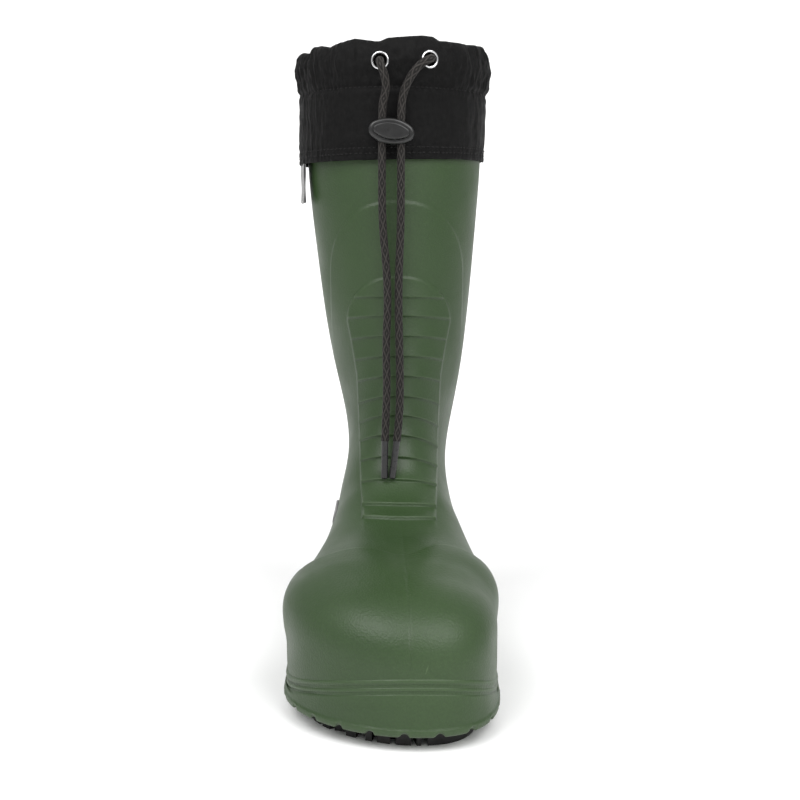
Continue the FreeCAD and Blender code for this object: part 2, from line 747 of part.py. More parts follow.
def level_edges(shape, height):
    """Names of the edges that lie wholly at one height."""
    names = []
    for index, edge in enumerate(shape.Edges, start=1):
        limits = edge.BoundBox
        if abs(limits.ZMin - height) < 1e-6 and abs(limits.ZMax - height) < 1e-6:
            names.append("Edge%d" % index)
    return names


def lock_placement():
    """Local +Z towards the toe, local X across the boot, tilted about the boot's length."""
    upright = Rotation(Vector(1, 0, 0), 90)
    tilt = Rotation(Vector(0, 1, 0), size("lock_tilt"))
    return Placement(LOCK_CENTRE, tilt.multiply(upright))


# taller than the lock, and centred on it
CORD_BORE_LENGTH = 40.0
BUTTON_SLOT_LENGTH = 24.0
SPRING_HOLE_LENGTH = 20.0
# wall left in front of the spring's hole, and the play at rest behind the button and the spring
SPRING_HOLE_WALL = 1.5
BUTTON_PLAY = 0.1
SPRING_PLAY = 0.05


def cord_bores(prefix):
    """The two upright bores that the cords run through."""
    tools = []
    for index, x in enumerate(CORD_X):
        bore = doc.addObject("Part::Cylinder", "%s_%d" % (prefix, index))
        bind(bore, Radius="Sizes.lock_bore / 2", Height="%g mm" % CORD_BORE_LENGTH)
        bore.Placement.Base = Vector(x, CORD_Y, LOCK_CENTRE.z - CORD_BORE_LENGTH / 2)
        tools.append(bore)
    return tools


def make_lock_body():
    """Oval housing, open towards the toe, with the button's pocket and two cord bores."""
    body = doc.addObject("PartDesign::Body", "lock_housing")
    pad = body.newObject("PartDesign::Pad", "lock_block")
    pad.Profile = oval_sketch(body, "lock_outline", 0)
    bind(pad, Length="Sizes.lock_depth")
    doc.recompute()
    rounded = body.newObject("PartDesign::Fillet", "lock_rounded")
    rounded.Base = (pad, level_edges(pad.Shape, 0) + level_edges(pad.Shape, size("lock_depth")))
    bind(rounded, Radius="Sizes.lock_round")
    doc.recompute()
    solid_volume = body.Shape.Volume
    pocket = body.newObject("PartDesign::Pocket", "lock_pocket")
    pocket.Profile = oval_sketch(body, "lock_pocket_outline", size("pocket_margin"), size("lock_depth"))
    bind(pocket, Length="Sizes.cavity_depth")
    body.Tip = pocket
    doc.recompute()
    print("lock pocket removes %.0f mm3" % (solid_volume - body.Shape.Volume))
    body.Placement = lock_placement()
    keep(cut("lock_body", body, fuse("lock_bores", cord_bores("lock_bore"))), "lock_body")


def make_lock_button():
    """Oval button with a tongue between the cords and a blind hole for the spring."""
    body = doc.addObject("PartDesign::Body", "lock_plunger")
    pad = body.newObject("PartDesign::Pad", "button_block")
    pad.Profile = oval_sketch(body, "button_outline", size("pocket_margin") + size("button_clearance"))
    bind(pad, Length="Sizes.button_length")
    doc.recompute()
    rounded = body.newObject("PartDesign::Fillet", "button_rounded")
    rounded.Base = (pad, level_edges(pad.Shape, size("button_length")))
    bind(rounded, Radius="Sizes.button_round")
    body.Tip = rounded
    lift = size("lock_depth") - size("cavity_depth") + size("button_travel") + BUTTON_PLAY
    placement = lock_placement()
    body.Placement = placement.multiply(Placement(Vector(0, 0, lift), Rotation()))
    tools = []
    for index, x in enumerate(CORD_X):
        slot = doc.addObject("Part::Box", "button_slot_%d" % index)
        bind(slot, Length="Sizes.lock_bore", Width="%g mm" % BUTTON_SLOT_LENGTH,
             Height="%g mm" % CORD_BORE_LENGTH)
        slot.Placement.Base = Vector(x - size("lock_bore") / 2, LOCK_PLATE_Y,
                                     LOCK_CENTRE.z - CORD_BORE_LENGTH / 2)
        tools.append(slot)
    bore = doc.addObject("Part::Cylinder", "button_spring_hole")
    bind(bore, Radius="Sizes.spring_pocket", Height="%g mm" % SPRING_HOLE_LENGTH)
    bore.Placement = Placement(Vector(LOCK_CENTRE.x, LOCK_PLATE_Y + SPRING_HOLE_WALL, LOCK_CENTRE.z),
                               Rotation(Vector(1, 0, 0), -90))
    tools.append(bore)
    keep(cut("lock_button", body, fuse("button_tools", tools)), "lock_button")


def make_lock_spring():
    """Compression spring between the housing's back wall and the button."""
    back_wall = LOCK_CENTRE.y - (size("lock_depth") - size("cavity_depth"))
    front = LOCK_PLATE_Y + SPRING_HOLE_WALL
    wire = size("spring_wire")
    turns_length = back_wall - front - wire - 2 * SPRING_PLAY
    radius = size("spring_radius")
    helix = Part.makeHelix(size("spring_pitch"), turns_length, radius)
    section = Part.Wire(Part.Circle(Vector(radius, 0, 0), Vector(0, 1, 0), wire / 2).toShape())
    coil = Part.Wire(helix.Edges).makePipeShell([section], True, True)
    spring = keep(shaped("lock_spring", coil), "lock_spring")
    spring.Placement = Placement(
        Vector(LOCK_CENTRE.x, back_wall - wire / 2 - SPRING_PLAY, LOCK_CENTRE.z), Rotation(Vector(1, 0, 0), 90))


# ---------------------------------------------------------------- label tab and badge

LABEL_HINGE = Vector(-60.6, 72.0, 320.3)
BADGE_CENTRE = Vector(-37.0, 58.0, 84.0)
BADGE_GAP = 0.2


def make_label():
    """Blank cloth tab that hangs from under the collar's hem on the lateral side."""
    body = keep(doc.addObject("PartDesign::Body", "label_tab"), "label_tab")
    sketch = new_sketch(body, "label_outline", "YZ_Plane")
    half, drop = size("label_width") / 2, size("label_drop")
    close_profile(sketch, [(-half, -drop), (half, -drop), (half, 0), (-half, 0)])
    pad = body.newObject("PartDesign::Pad", "label_cloth")
    pad.Profile = sketch
    pad.Midplane = True
    bind(pad, Length="Sizes.label_thick")
    body.Placement = Placement(LABEL_HINGE, Rotation(Vector(0, 0, 1), size("label_turn")))


def badge_placement(centre):
    """Facing the lateral side, with the long axis level."""
    outward = Rotation(Vector(0, 1, 0), -90)
    return Placement(centre, outward.multiply(Rotation(Vector(0, 0, 1), 90)))


def make_badge():
    """Plain oval plate set into the lateral ankle."""
    body = keep(doc.addObject("PartDesign::Body", "ankle_badge"), "ankle_badge")
    outline = new_sketch(body, "badge_outline", "XY_Plane")
    outline.addGeometry(Part.Ellipse(Vector(0, 0, 0), size("badge_half_width"), size("badge_half_height")))
    pad = body.newObject("PartDesign::Pad", "badge_plate")
    pad.Profile = outline
    bind(pad, Length="Sizes.badge_thick")
    body.Placement = badge_placement(BADGE_CENTRE + Vector(-0.05, 0, 0))


# ---------------------------------------------------------------- build, check, write


def check_document():
    doc.recompute()
    for obj in doc.Objects:
        if "Invalid" in obj.State or "Error" in obj.State:
            raise RuntimeError("%s failed: %s" % (obj.Label, obj.State))
    for node, obj in pieces.items():
        shape = obj.Shape
        if shape.isNull() or not shape.isValid() or shape.Volume <= 0:
            raise RuntimeError("%s has no valid solid" % node)


def write_parts():
    os.makedirs("parts", exist_ok=True)
    for node, obj in pieces.items():
        obj.Shape.exportStep("parts/%s.step" % node)
        limits = obj.Shape.BoundBox
        print("%-22s solids %d volume %9.1f  x %.1f..%.1f  y %.1f..%.1f  z %.1f..%.1f" % (
            node, len(obj.Shape.Solids), obj.Shape.Volume, limits.XMin, limits.XMax,
            limits.YMin, limits.YMax, limits.ZMin, limits.ZMax))


make_shell()
make_outsole_pad("outsole_forefoot", FOREFOOT_SPAN, FOREFOOT_GROOVES_Y,
                 edge_notches("toe_notch", *TOE_NOTCHES))
make_outsole_pad("outsole_heel", HEEL_SPAN, HEEL_GROOVES_Y,
                 edge_notches("heel_notch", *HEEL_NOTCHES))
liner_inset, liner_floor = make_liner()
make_binding(liner_inset)
make_footbed(liner_inset, liner_floor)
make_pull_loop()
make_collar()
make_threads()
for eyelet_side in EYELETS:
    make_eyelet(eyelet_side)
make_cords()
make_cord_tips()
make_lock_body()
make_lock_button()
make_lock_spring()
make_label()
make_badge()
check_document()
write_parts()
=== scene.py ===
"""Insulated hunting boot: the looks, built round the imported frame. All lengths are in metres.

Frame: +Z up, toe towards -Y, medial side towards +X, origin on the ground below the boot's middle.
"""
import math

import bpy
import mathutils.noise
import numpy as np
from mathutils import Matrix, Vector


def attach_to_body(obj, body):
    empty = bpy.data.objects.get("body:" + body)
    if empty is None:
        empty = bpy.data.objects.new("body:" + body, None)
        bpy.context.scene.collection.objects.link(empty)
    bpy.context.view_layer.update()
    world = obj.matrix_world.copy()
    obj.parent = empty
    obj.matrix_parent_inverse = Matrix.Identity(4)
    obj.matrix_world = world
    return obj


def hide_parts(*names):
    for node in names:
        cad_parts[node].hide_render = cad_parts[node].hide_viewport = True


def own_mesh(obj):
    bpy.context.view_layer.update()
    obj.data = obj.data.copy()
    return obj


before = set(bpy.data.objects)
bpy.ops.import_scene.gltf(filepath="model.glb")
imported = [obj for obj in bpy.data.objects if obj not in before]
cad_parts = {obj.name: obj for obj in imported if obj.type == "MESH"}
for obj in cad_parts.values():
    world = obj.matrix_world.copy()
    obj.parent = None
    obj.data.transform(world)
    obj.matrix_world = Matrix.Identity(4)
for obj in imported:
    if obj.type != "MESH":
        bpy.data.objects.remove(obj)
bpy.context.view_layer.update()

MM = 0.001
SCENE = bpy.context.scene

# ---- camera, floor and light

CAMERA_PLACE = (0.0, -0.829, 0.2764)
CAMERA_PITCH_DEG = 7.37
CAMERA_LENS_MM = 59.1
CAMERA_SHIFT_X = 0.00875


def add_camera():
    data = bpy.data.cameras.new("camera")
    data.sensor_width = 36.0
    data.lens = CAMERA_LENS_MM
    data.shift_x = CAMERA_SHIFT_X
    camera = bpy.data.objects.new("camera", data)
    camera.location = CAMERA_PLACE
    camera.rotation_euler = (math.radians(90 - CAMERA_PITCH_DEG), 0, 0)
    SCENE.collection.objects.link(camera)
    SCENE.camera = camera


def add_softbox(name, place, target, size, power):
    data = bpy.data.lights.new(name, "AREA")
    data.shape = "RECTANGLE"
    data.size, data.size_y = size
    data.energy = power
    light = bpy.data.objects.new(name, data)
    light.location = place
    light.rotation_euler = (Vector(target) - Vector(place)).to_track_quat("-Z", "Y").to_euler()
    SCENE.collection.objects.link(light)


def add_lights():
    middle = (0.0, -0.02, 0.18)
    add_softbox("key_left", (-0.80, -0.95, 1.45), middle, (1.2, 1.2), 22)
    add_softbox("key_right", (0.75, -1.05, 1.40), middle, (1.2, 1.2), 23)
    add_softbox("back_fill", (0.3, 1.3, 1.5), (0.0, 2.6, 0.7), (1.6, 1.2), 24)
    world = bpy.data.worlds.new("studio")
    world.use_nodes = True
    background = world.node_tree.nodes["Background"]
    background.inputs["Color"].default_value = (1.0, 1.0, 1.0, 1)
    background.inputs["Strength"].default_value = 0.56
    SCENE.world = world
    SCENE.view_settings.view_transform = "Standard"


# ---- material helpers


def add_node(tree, kind, settings=(), **inputs):
    """A shader node with its settings and inputs; an input is a value or another node's socket."""
    made = tree.nodes.new(kind)
    for name, value in dict(settings).items():
        setattr(made, name, value)
    for name, value in inputs.items():
        socket = made.inputs[name.replace("_", " ")]
        if isinstance(value, bpy.types.NodeSocket):
            tree.links.new(value, socket)
        else:
            socket.default_value = value
    return made


def start_material(name, **constants):
    material = bpy.data.materials.new(name)
    material.use_nodes = True
    tree = material.node_tree
    shader = tree.nodes["Principled BSDF"]
    for key, value in constants.items():
        shader.inputs[key.replace("_", " ")].default_value = value
    return material, tree, shader


def attach(tree, shader, **sockets):
    for key, socket in sockets.items():
        tree.links.new(socket, shader.inputs[key.replace("_", " ")])


def object_place(tree):
    return add_node(tree, "ShaderNodeTexCoord").outputs["Object"]


def cloth_place(tree):
    return add_node(tree, "ShaderNodeTexCoord").outputs["UV"]


def noise(tree, place, scale, detail=2.0, rough=0.5):
    made = add_node(tree, "ShaderNodeTexNoise", Vector=place, Scale=scale, Detail=detail, Roughness=rough)
    return made.outputs["Fac"]


def ramp(tree, factor, *stops):
    """Colours or greys along a factor; each stop is (position, colour)."""
    made = add_node(tree, "ShaderNodeValToRGB", Fac=factor)
    elements = made.color_ramp.elements
    while len(elements) < len(stops):
        elements.new(0.5)
    for element, (position, colour) in zip(elements, stops):
        element.position = position
        element.color = colour if isinstance(colour, tuple) else (colour, colour, colour, 1)
    return made.outputs["Color"]


def two(tree, operation, first, second):
    made = tree.nodes.new("ShaderNodeMath")
    made.operation = operation
    for socket, value in zip(made.inputs, (first, second)):
        if isinstance(value, bpy.types.NodeSocket):
            tree.links.new(value, socket)
        else:
            socket.default_value = value
    return made.outputs[0]


def mix(tree, factor, first, second, kind="MIX"):
    made = add_node(tree, "ShaderNodeMixRGB", {"blend_type": kind}, Fac=factor)
    for key, value in (("Color1", first), ("Color2", second)):
        if isinstance(value, bpy.types.NodeSocket):
            tree.links.new(value, made.inputs[key])
        else:
            made.inputs[key].default_value = value
    return made.outputs["Color"]


def bump(tree, height, distance, strength=1.0, under=None):
    made = add_node(tree, "ShaderNodeBump", Height=height, Distance=distance, Strength=strength)
    if under is not None:
        tree.links.new(under, made.inputs["Normal"])
    return made.outputs["Normal"]


def cells(tree, place, scale, feature="F1", smooth=0.0):
    made = add_node(tree, "ShaderNodeTexVoronoi", {"feature": feature}, Vector=place, Scale=scale)
    if feature == "SMOOTH_F1":
        made.inputs["Smoothness"].default_value = smooth
    return made.outputs["Distance"]


def bands(tree, place, scale, direction):
    made = add_node(tree, "ShaderNodeTexWave", {"bands_direction": direction}, Vector=place, Scale=scale,
                    Distortion=0.0, Detail=0.0)
    return made.outputs["Fac"]


# ---- materials


def moulded_foam():
    """Green EVA: pebbled grain, soft satin, paler where edges stand up: a painted highlight where edges
    catch the light, which also stands for edge wear.
    """
    material, tree, shader = start_material("moulded_foam", Specular_IOR_Level=0.42)
    place = object_place(tree)
    warped = add_node(tree, "ShaderNodeTexNoise", Vector=place, Scale=260.0, Detail=1.0).outputs["Color"]
    moved = add_node(tree, "ShaderNodeVectorMath", {"operation": "SCALE"}, Scale=0.0022)
    tree.links.new(warped, moved.inputs[0])
    jittered = add_node(tree, "ShaderNodeVectorMath", {"operation": "ADD"})
    tree.links.new(place, jittered.inputs[0])
    tree.links.new(moved.outputs[0], jittered.inputs[1])
    pebbles = cells(tree, jittered.outputs[0], 820.0, "SMOOTH_F1", 0.35)
    grain = bump(tree, pebbles, 0.00035, 0.33)
    fine = bump(tree, noise(tree, place, 2600.0, 2.0), 0.0001, 0.35, grain)
    clouds = noise(tree, place, 9.0, 3.0)
    green = ramp(tree, clouds, (0.3, (0.020, 0.044, 0.012, 1)), (0.7, (0.028, 0.057, 0.017, 1)))
    speckle = ramp(tree, noise(tree, place, 700.0, 2.0), (0.35, 0.82), (0.7, 1.1))
    green = mix(tree, 0.5, green, speckle, "MULTIPLY")
    crest = add_node(tree, "ShaderNodeNewGeometry").outputs["Pointiness"]
    # pale green on sharp edges and rib ends: painted highlight where edges catch the light, and edge wear
    edge_highlight_and_wear = ramp(tree, crest, (0.51, 0.0), (0.6, 1.0))
    green = mix(tree, two(tree, "MULTIPLY", edge_highlight_and_wear, 0.4), green, (0.09, 0.14, 0.065, 1))
    rough = ramp(tree, noise(tree, place, 34.0, 4.0), (0.3, 0.40), (0.75, 0.54))
    attach(tree, shader, Base_Color=green, Roughness=rough, Normal=fine)
    return material


def outsole_rubber():
    material, tree, shader = start_material("outsole_rubber", Specular_IOR_Level=0.4)
    place = object_place(tree)
    grit = bump(tree, noise(tree, place, 900.0, 4.0), 0.0003, 0.5)
    dusty = ramp(tree, noise(tree, place, 45.0, 4.0), (0.4, (0.012, 0.012, 0.012, 1)),
                 (0.8, (0.034, 0.032, 0.03, 1)))
    rough = ramp(tree, noise(tree, place, 120.0, 2.0), (0.3, 0.55), (0.7, 0.8))
    attach(tree, shader, Base_Color=dusty, Roughness=rough, Normal=grit)
    return material


def woven_nylon(name, dark, pale, pitch, relief, sheen):
    """A plain weave: two crossing sets of yarns, with a slight slub and a sheen."""
    material, tree, shader = start_material(name, Specular_IOR_Level=0.12, Sheen_Weight=sheen,
                                            Sheen_Roughness=0.35)
    place = cloth_place(tree)
    scale = 0.314 / pitch
    warp = bands(tree, place, scale, "X")
    weft = bands(tree, place, scale, "Y")
    yarns = two(tree, "MAXIMUM", warp, two(tree, "MULTIPLY", weft, 0.9))
    slub = noise(tree, place, 320.0, 3.0)
    height = two(tree, "ADD", yarns, two(tree, "MULTIPLY", slub, 0.6))
    body = object_place(tree)
    creases = bump(tree, noise(tree, body, 75.0, 4.0, 0.6), 0.0012, 0.5)
    weave = bump(tree, height, relief, 0.6, creases)
    # paler on the yarns' crowns and darker in the gaps between them: painted shade over the weave's relief,
    # varied by the slub
    shade = ramp(tree, two(tree, "MULTIPLY", yarns, slub), (0.15, dark), (0.75, pale))
    patch = ramp(tree, noise(tree, body, 26.0, 3.0), (0.3, 0.8), (0.75, 1.25))
    shade = mix(tree, 0.7, shade, patch, "MULTIPLY")
    rough = ramp(tree, yarns, (0.2, 0.8), (0.9, 0.55))
    attach(tree, shader, Base_Color=shade, Roughness=rough, Normal=weave)
    return material


def braided_cord():
    material, tree, shader = start_material("braided_cord", Specular_IOR_Level=0.2, Sheen_Weight=0.04)
    strand = add_node(tree, "ShaderNodeAttribute", {"attribute_name": "strand"}).outputs["Fac"]
    place = object_place(tree)
    flecks = noise(tree, place, 1500.0, 3.0, 0.7)
    # paler on the strands' crests and darker in the hollows between them: painted highlight and shade over
    # the braid's relief, with random flecks
    colour = ramp(tree, two(tree, "MULTIPLY", strand, two(tree, "ADD", flecks, 0.35)),
                  (0.05, (0.005, 0.0045, 0.004, 1)), (0.5, (0.014, 0.0125, 0.0115, 1)),
                  (0.95, (0.045, 0.040, 0.036, 1)))
    fibres = bump(tree, flecks, 0.00015, 0.6)
    attach(tree, shader, Base_Color=colour, Roughness=ramp(tree, strand, (0.2, 0.8), (0.9, 0.5)),
           Normal=fibres)
    return material


def polished_metal(name, colour, rough):
    material, tree, shader = start_material(name, Metallic=1.0)
    place = object_place(tree)
    smudge = noise(tree, place, 160.0, 4.0)
    tint = ramp(tree, smudge, (0.3, tuple(0.86 * part for part in colour) + (1,)), (0.7, colour + (1,)))
    scratch = bump(tree, noise(tree, place, 1800.0, 2.0), 0.00004, 0.3)
    roughness = ramp(tree, smudge, (0.3, rough * 0.8), (0.75, rough * 1.5))
    attach(tree, shader, Base_Color=tint, Roughness=roughness, Normal=scratch)
    return material


def black_plastic(name, level, rough):
    material, tree, shader = start_material(name, Specular_IOR_Level=0.5, Coat_Weight=0.08,
                                            Coat_Roughness=0.3)
    place = object_place(tree)
    texture = bump(tree, noise(tree, place, 2200.0, 2.0), 0.00006, 0.5)
    shade = ramp(tree, noise(tree, place, 90.0, 3.0), (0.3, level * 0.8), (0.75, level * 1.3))
    # paler grey on sharp edges: a painted highlight where edges catch the light, which also stands for edge
    # wear
    crest = add_node(tree, "ShaderNodeNewGeometry").outputs["Pointiness"]
    shade = mix(tree, ramp(tree, crest, (0.52, 0.0), (0.62, 0.5)), shade, (0.03, 0.03, 0.031, 1))
    roughness = ramp(tree, noise(tree, place, 300.0, 3.0), (0.3, rough * 0.85), (0.7, rough * 1.2))
    attach(tree, shader, Base_Color=shade, Roughness=roughness, Normal=texture)
    return material


def fibrous(name, dark, pale, scale, depth, sheen):
    """Felt or pile: short tangled fibre."""
    material, tree, shader = start_material(name, Specular_IOR_Level=0.2, Sheen_Weight=sheen,
                                            Sheen_Roughness=0.6)
    place = object_place(tree)
    tufts = noise(tree, place, scale, 5.0, 0.7)
    clumps = cells(tree, place, scale * 0.45, "SMOOTH_F1", 0.6)
    height = two(tree, "SUBTRACT", tufts, two(tree, "MULTIPLY", clumps, 0.5))
    # darker in the hollows and paler on the tufts of the same relief that the bump gives: painted shade
    colour = ramp(tree, height, (0.05, dark), (0.7, pale))
    rough = ramp(tree, tufts, (0.3, 0.8), (0.8, 0.98))
    attach(tree, shader, Base_Color=colour, Roughness=rough, Normal=bump(tree, height, depth, 0.8))
    return material


def crinkled_foil():
    material, tree, shader = start_material("crinkled_foil", Metallic=1.0)
    place = object_place(tree)
    crinkle = cells(tree, place, 130.0)
    # darker in the crinkles' dimples and paler on their ridges, over the same relief that the bump gives:
    # painted shade
    colour = ramp(tree, crinkle, (0.0, (0.6, 0.61, 0.63, 1)), (0.8, (0.86, 0.86, 0.87, 1)))
    rough = ramp(tree, noise(tree, place, 60.0), (0.3, 0.2), (0.7, 0.38))
    attach(tree, shader, Base_Color=colour, Roughness=rough, Normal=bump(tree, crinkle, 0.001, 0.5))
    return material


# ---- mesh helpers


def smooth_step(low, high, value):
    share = np.clip((value - low) / (high - low), 0, 1)
    return share * share * (3 - 2 * share)


def natural_cubic(knots, values, at):
    """A natural cubic spline through rows of values, read at new places."""
    knots, values = np.asarray(knots, float), np.asarray(values, float)
    flat = values.ndim == 1
    values = values.reshape(len(knots), -1)
    step = np.diff(knots)
    slope = np.diff(values, axis=0) / step[:, None]
    system = np.eye(len(knots))
    right = np.zeros_like(values)
    for index in range(1, len(knots) - 1):
        system[index, index - 1:index + 2] = (step[index - 1], 2 * (step[index - 1] + step[index]),
                                              step[index])
        right[index] = 3 * (slope[index] - slope[index - 1])
    bend = np.linalg.solve(system, right)
    at = np.asarray(at, float)
    piece = np.clip(np.searchsorted(knots, at, side="right") - 1, 0, len(knots) - 2)
    along = (at - knots[piece])[:, None]
    width = step[piece][:, None]
    linear = slope[piece] - width * (2 * bend[piece] + bend[piece + 1]) / 3
    cubic = (bend[piece + 1] - bend[piece]) / (3 * width)
    found = values[piece] + along * (linear + along * (bend[piece] + along * cubic))
    return found[:, 0] if flat else found


def lengths_along(points):
    """Distance travelled to each point of a line."""
    steps = np.linalg.norm(np.diff(points, axis=0), axis=-1)
    return np.concatenate([[0.0], np.cumsum(steps)])


def evenly(points, count):
    """A line's points respaced evenly, ends included."""
    travel = lengths_along(points)
    at = np.linspace(0, travel[-1], count)
    return np.stack([np.interp(at, travel, points[:, axis]) for axis in range(points.shape[1])], axis=1)


def grid_faces(rows, columns, start=0, wrap=True):
    """Quads over a grid of points, closed round its columns if it wraps."""
    row = np.arange(rows - 1)[:, None] * columns
    column = np.arange(columns if wrap else columns - 1)[None, :]
    after = (column + 1) % columns
    quads = np.stack([row + column, row + after, row + columns + after, row + columns + column], axis=-1)
    return (quads.reshape(-1, 4) + start).tolist()


def capped_faces(rows, columns):
    """A wrapped grid's quads with a face over each end."""
    last = (rows - 1) * columns
    return grid_faces(rows, columns) + [list(range(columns))[::-1], list(range(last, last + columns))]


def ring_faces(rows, columns):
    """A wrapped grid's quads, with its last row joined to its first."""
    last = (rows - 1) * columns
    joining = [[last + k, last + (k + 1) % columns, (k + 1) % columns, k] for k in range(columns)]
    return grid_faces(rows, columns) + joining


def build(name, points, faces, material, body, smooth=True):
    """A mesh object that rides on a body and takes the given finish."""
    mesh = bpy.data.meshes.new(name)
    mesh.from_pydata(np.asarray(points).reshape(-1, 3).tolist(), [], faces)
    mesh.materials.append(material)
    mesh.polygons.foreach_set("use_smooth", [smooth] * len(mesh.polygons))
    mesh.update()
    made = bpy.data.objects.new(name, mesh)
    SCENE.collection.objects.link(made)
    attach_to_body(made, body)
    return made


def grid_normals(points, wrap=True):
    """Unit normals of a grid of points."""
    if wrap:
        across = np.roll(points, -1, axis=1) - np.roll(points, 1, axis=1)
    else:
        across = np.gradient(points, axis=1)
    along = np.gradient(points, axis=0)
    normal = np.cross(across, along)
    return normal / np.maximum(np.linalg.norm(normal, axis=-1, keepdims=True), 1e-12)


def set_cloth_map(made, columns, along, around):
    """A map in metres over a wrapped grid: across the cloth and up it."""
    layer = made.data.uv_layers.new(name="cloth")
    loops = np.zeros(len(made.data.loops), int)
    made.data.loops.foreach_get("vertex_index", loops)
    row, column = loops // columns, loops % columns
    across = around * column / columns
    quads = across.reshape(-1, 4)
    over = (quads.max(axis=1) - quads.min(axis=1)) > around / 2
    quads[over] = np.where(quads[over] < around / 2, quads[over] + around, quads[over])
    pairs = np.stack([quads.reshape(-1), np.asarray(along)[row]], axis=1)
    layer.data.foreach_set("uv", pairs.astype(np.float32).reshape(-1))


def facing_matrix(point, direction):
    turn = Vector(direction).to_track_quat("Z", "Y")
    return Matrix.Translation(Vector(point)) @ turn.to_matrix().to_4x4()


def lathe(name, profile, around, matrix, material, body):
    """A closed ring turned about its own Z from a closed outline of (radius, height)."""
    outline = np.asarray(profile, float)
    turn = np.linspace(0, 2 * np.pi, around, endpoint=False)
    points = np.zeros((len(outline), around, 3))
    points[..., 0] = outline[:, :1] * np.cos(turn)
    points[..., 1] = outline[:, :1] * np.sin(turn)
    points[..., 2] = outline[:, 1:]
    placed = [matrix @ Vector(point) for point in points.reshape(-1, 3)]
    return build(name, np.array(placed), ring_faces(len(outline), around), material, body)


# ---- drawcord

CORD_DIAMETER = 0.005
CORD_ROUTES = {
    "left": [(-0.00778, 0.01323, 0.3815), (-0.0086, 0.0046, 0.3814), (-0.0074, 0.0010, 0.3772),
             (-0.0047, 0.0022, 0.3702), (-0.0042, 0.0056, 0.3626), (-0.0069, 0.0077, 0.3545),
             (-0.0069, 0.0077, 0.3245), (-0.0069, 0.0077, 0.2810), (-0.0042, 0.0080, 0.2550),
             (-0.0032, 0.0076, 0.2300), (-0.0045, 0.0079, 0.2030), (-0.0038, 0.0073, 0.1760),
             (-0.0047, 0.0060, 0.1550), (-0.0051, 0.0043, 0.1420)],
    "right": [(0.02222, 0.01742, 0.3827), (0.0250, 0.0088, 0.3829), (0.0220, 0.0042, 0.3814),
              (0.0156, 0.0032, 0.3772), (0.0104, 0.0048, 0.3702), (0.0068, 0.0068, 0.3624),
              (0.0050, 0.0077, 0.3538), (0.0050, 0.0077, 0.3238), (0.0050, 0.0077, 0.2810),
              (0.0039, 0.0080, 0.2550), (0.0034, 0.0076, 0.2300), (0.0041, 0.0079, 0.2030),
              (0.0046, 0.0073, 0.1760), (0.0040, 0.0060, 0.1550), (0.0024, 0.0043, 0.1420)],
}
BRAID_STRANDS = 8
BRAID_PITCH = 0.021


def spline_line(name, route, spacing):
    """Points along the smooth line that a route of control points gives."""
    curve = bpy.data.curves.new(name, "CURVE")
    curve.dimensions = "3D"
    curve.resolution_u = 40
    spline = curve.splines.new("NURBS")
    spline.points.add(len(route) - 1)
    for point, place in zip(spline.points, route):
        point.co = (*place, 1.0)
    spline.order_u = 3
    spline.use_endpoint_u = True
    carrier = bpy.data.objects.new(name, curve)
    SCENE.collection.objects.link(carrier)
    flat = bpy.data.meshes.new_from_object(carrier)
    line = np.array([vertex.co for vertex in flat.vertices])
    bpy.data.objects.remove(carrier)
    bpy.data.meshes.remove(flat)
    bpy.data.curves.remove(curve)
    count = int(lengths_along(line)[-1] / spacing) + 2
    return evenly(line, count)


def carried_frames(line):
    """Two directions square to the line at each point, carried along it without twisting."""
    tangent = np.gradient(line, axis=0)
    tangent /= np.linalg.norm(tangent, axis=1, keepdims=True)
    side = np.cross(tangent[0], (0.0, 0.0, 1.0))
    if np.linalg.norm(side) < 0.1:
        side = np.cross(tangent[0], (1.0, 0.0, 0.0))
    sides = []
    for direction in tangent:
        side = side - direction * np.dot(side, direction)
        side = side / np.linalg.norm(side)
        sides.append(side)
    sides = np.array(sides)
    return sides, np.cross(tangent, sides)


def braided_tube(name, line, diameter, material, around=56):
    """A round braid along a line: two sets of strands that cross over and under."""
    side, up = carried_frames(line)
    travel = lengths_along(line)[:, None]
    turn = np.linspace(0, 2 * np.pi, around, endpoint=False)[None, :]
    climb = 2 * np.pi * travel / BRAID_PITCH
    right_hand = np.cos(BRAID_STRANDS * turn + BRAID_STRANDS * climb / 2)
    left_hand = np.cos(BRAID_STRANDS * turn - BRAID_STRANDS * climb / 2)
    over = 0.5 + 0.5 * np.tanh(3 * np.cos(BRAID_STRANDS / 2 * turn) * np.cos(BRAID_STRANDS * climb / 4))
    strand = 0.5 + 0.5 * (over * right_hand + (1 - over) * left_hand)
    radius = diameter / 2 * (0.955 + 0.075 * strand)
    points = (line[:, None, :] + radius[..., None]
              * (np.cos(turn)[..., None] * side[:, None, :] + np.sin(turn)[..., None] * up[:, None, :]))
    made = build(name, points, capped_faces(len(line), around), material, "boot")
    attribute = made.data.attributes.new("strand", "FLOAT", "POINT")
    attribute.data.foreach_set("value", strand.astype(np.float32).reshape(-1))
    return made


def make_cords(material):
    """The drawcord's two free ends, with the lock on the left one."""
    for side, route in CORD_ROUTES.items():
        line = spline_line("route_" + side, route, 0.0004)
        made = braided_tube("braided_cord_" + side, line, CORD_DIAMETER, material)
        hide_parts("cord_" + side)
        on_it = [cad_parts["cord_tip_" + side]]
        if side == "left":
            on_it += [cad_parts[name] for name in ("lock_body", "lock_button", "lock_spring")]


# ---- form of the boot

TOE_TIP_Y = -0.160
TOE_ROOT_Y = -0.086
TOE_NOSE_Z = 0.040
TOE_CROWN_Z = 0.086
TOE_CENTRE_X = -0.0009
TOE_HALF = 0.0609
TOE_SWING_X = 0.015
TIP_INSET_SHARE = 1.3
TOE_BOTTOM_LIFT = 0.008
LEAST_NOSE_HEIGHT = 0.009
LEAST_LEAN = 0.05
PLAN_POWER = 2.15
CROWN_POWER = 2.5
TOE_FRONT_POWER = 2.5
FORM_BOTTOM_Z = 0.014
SHELL_TOP = 0.358
BOXY_POWER = 8.0
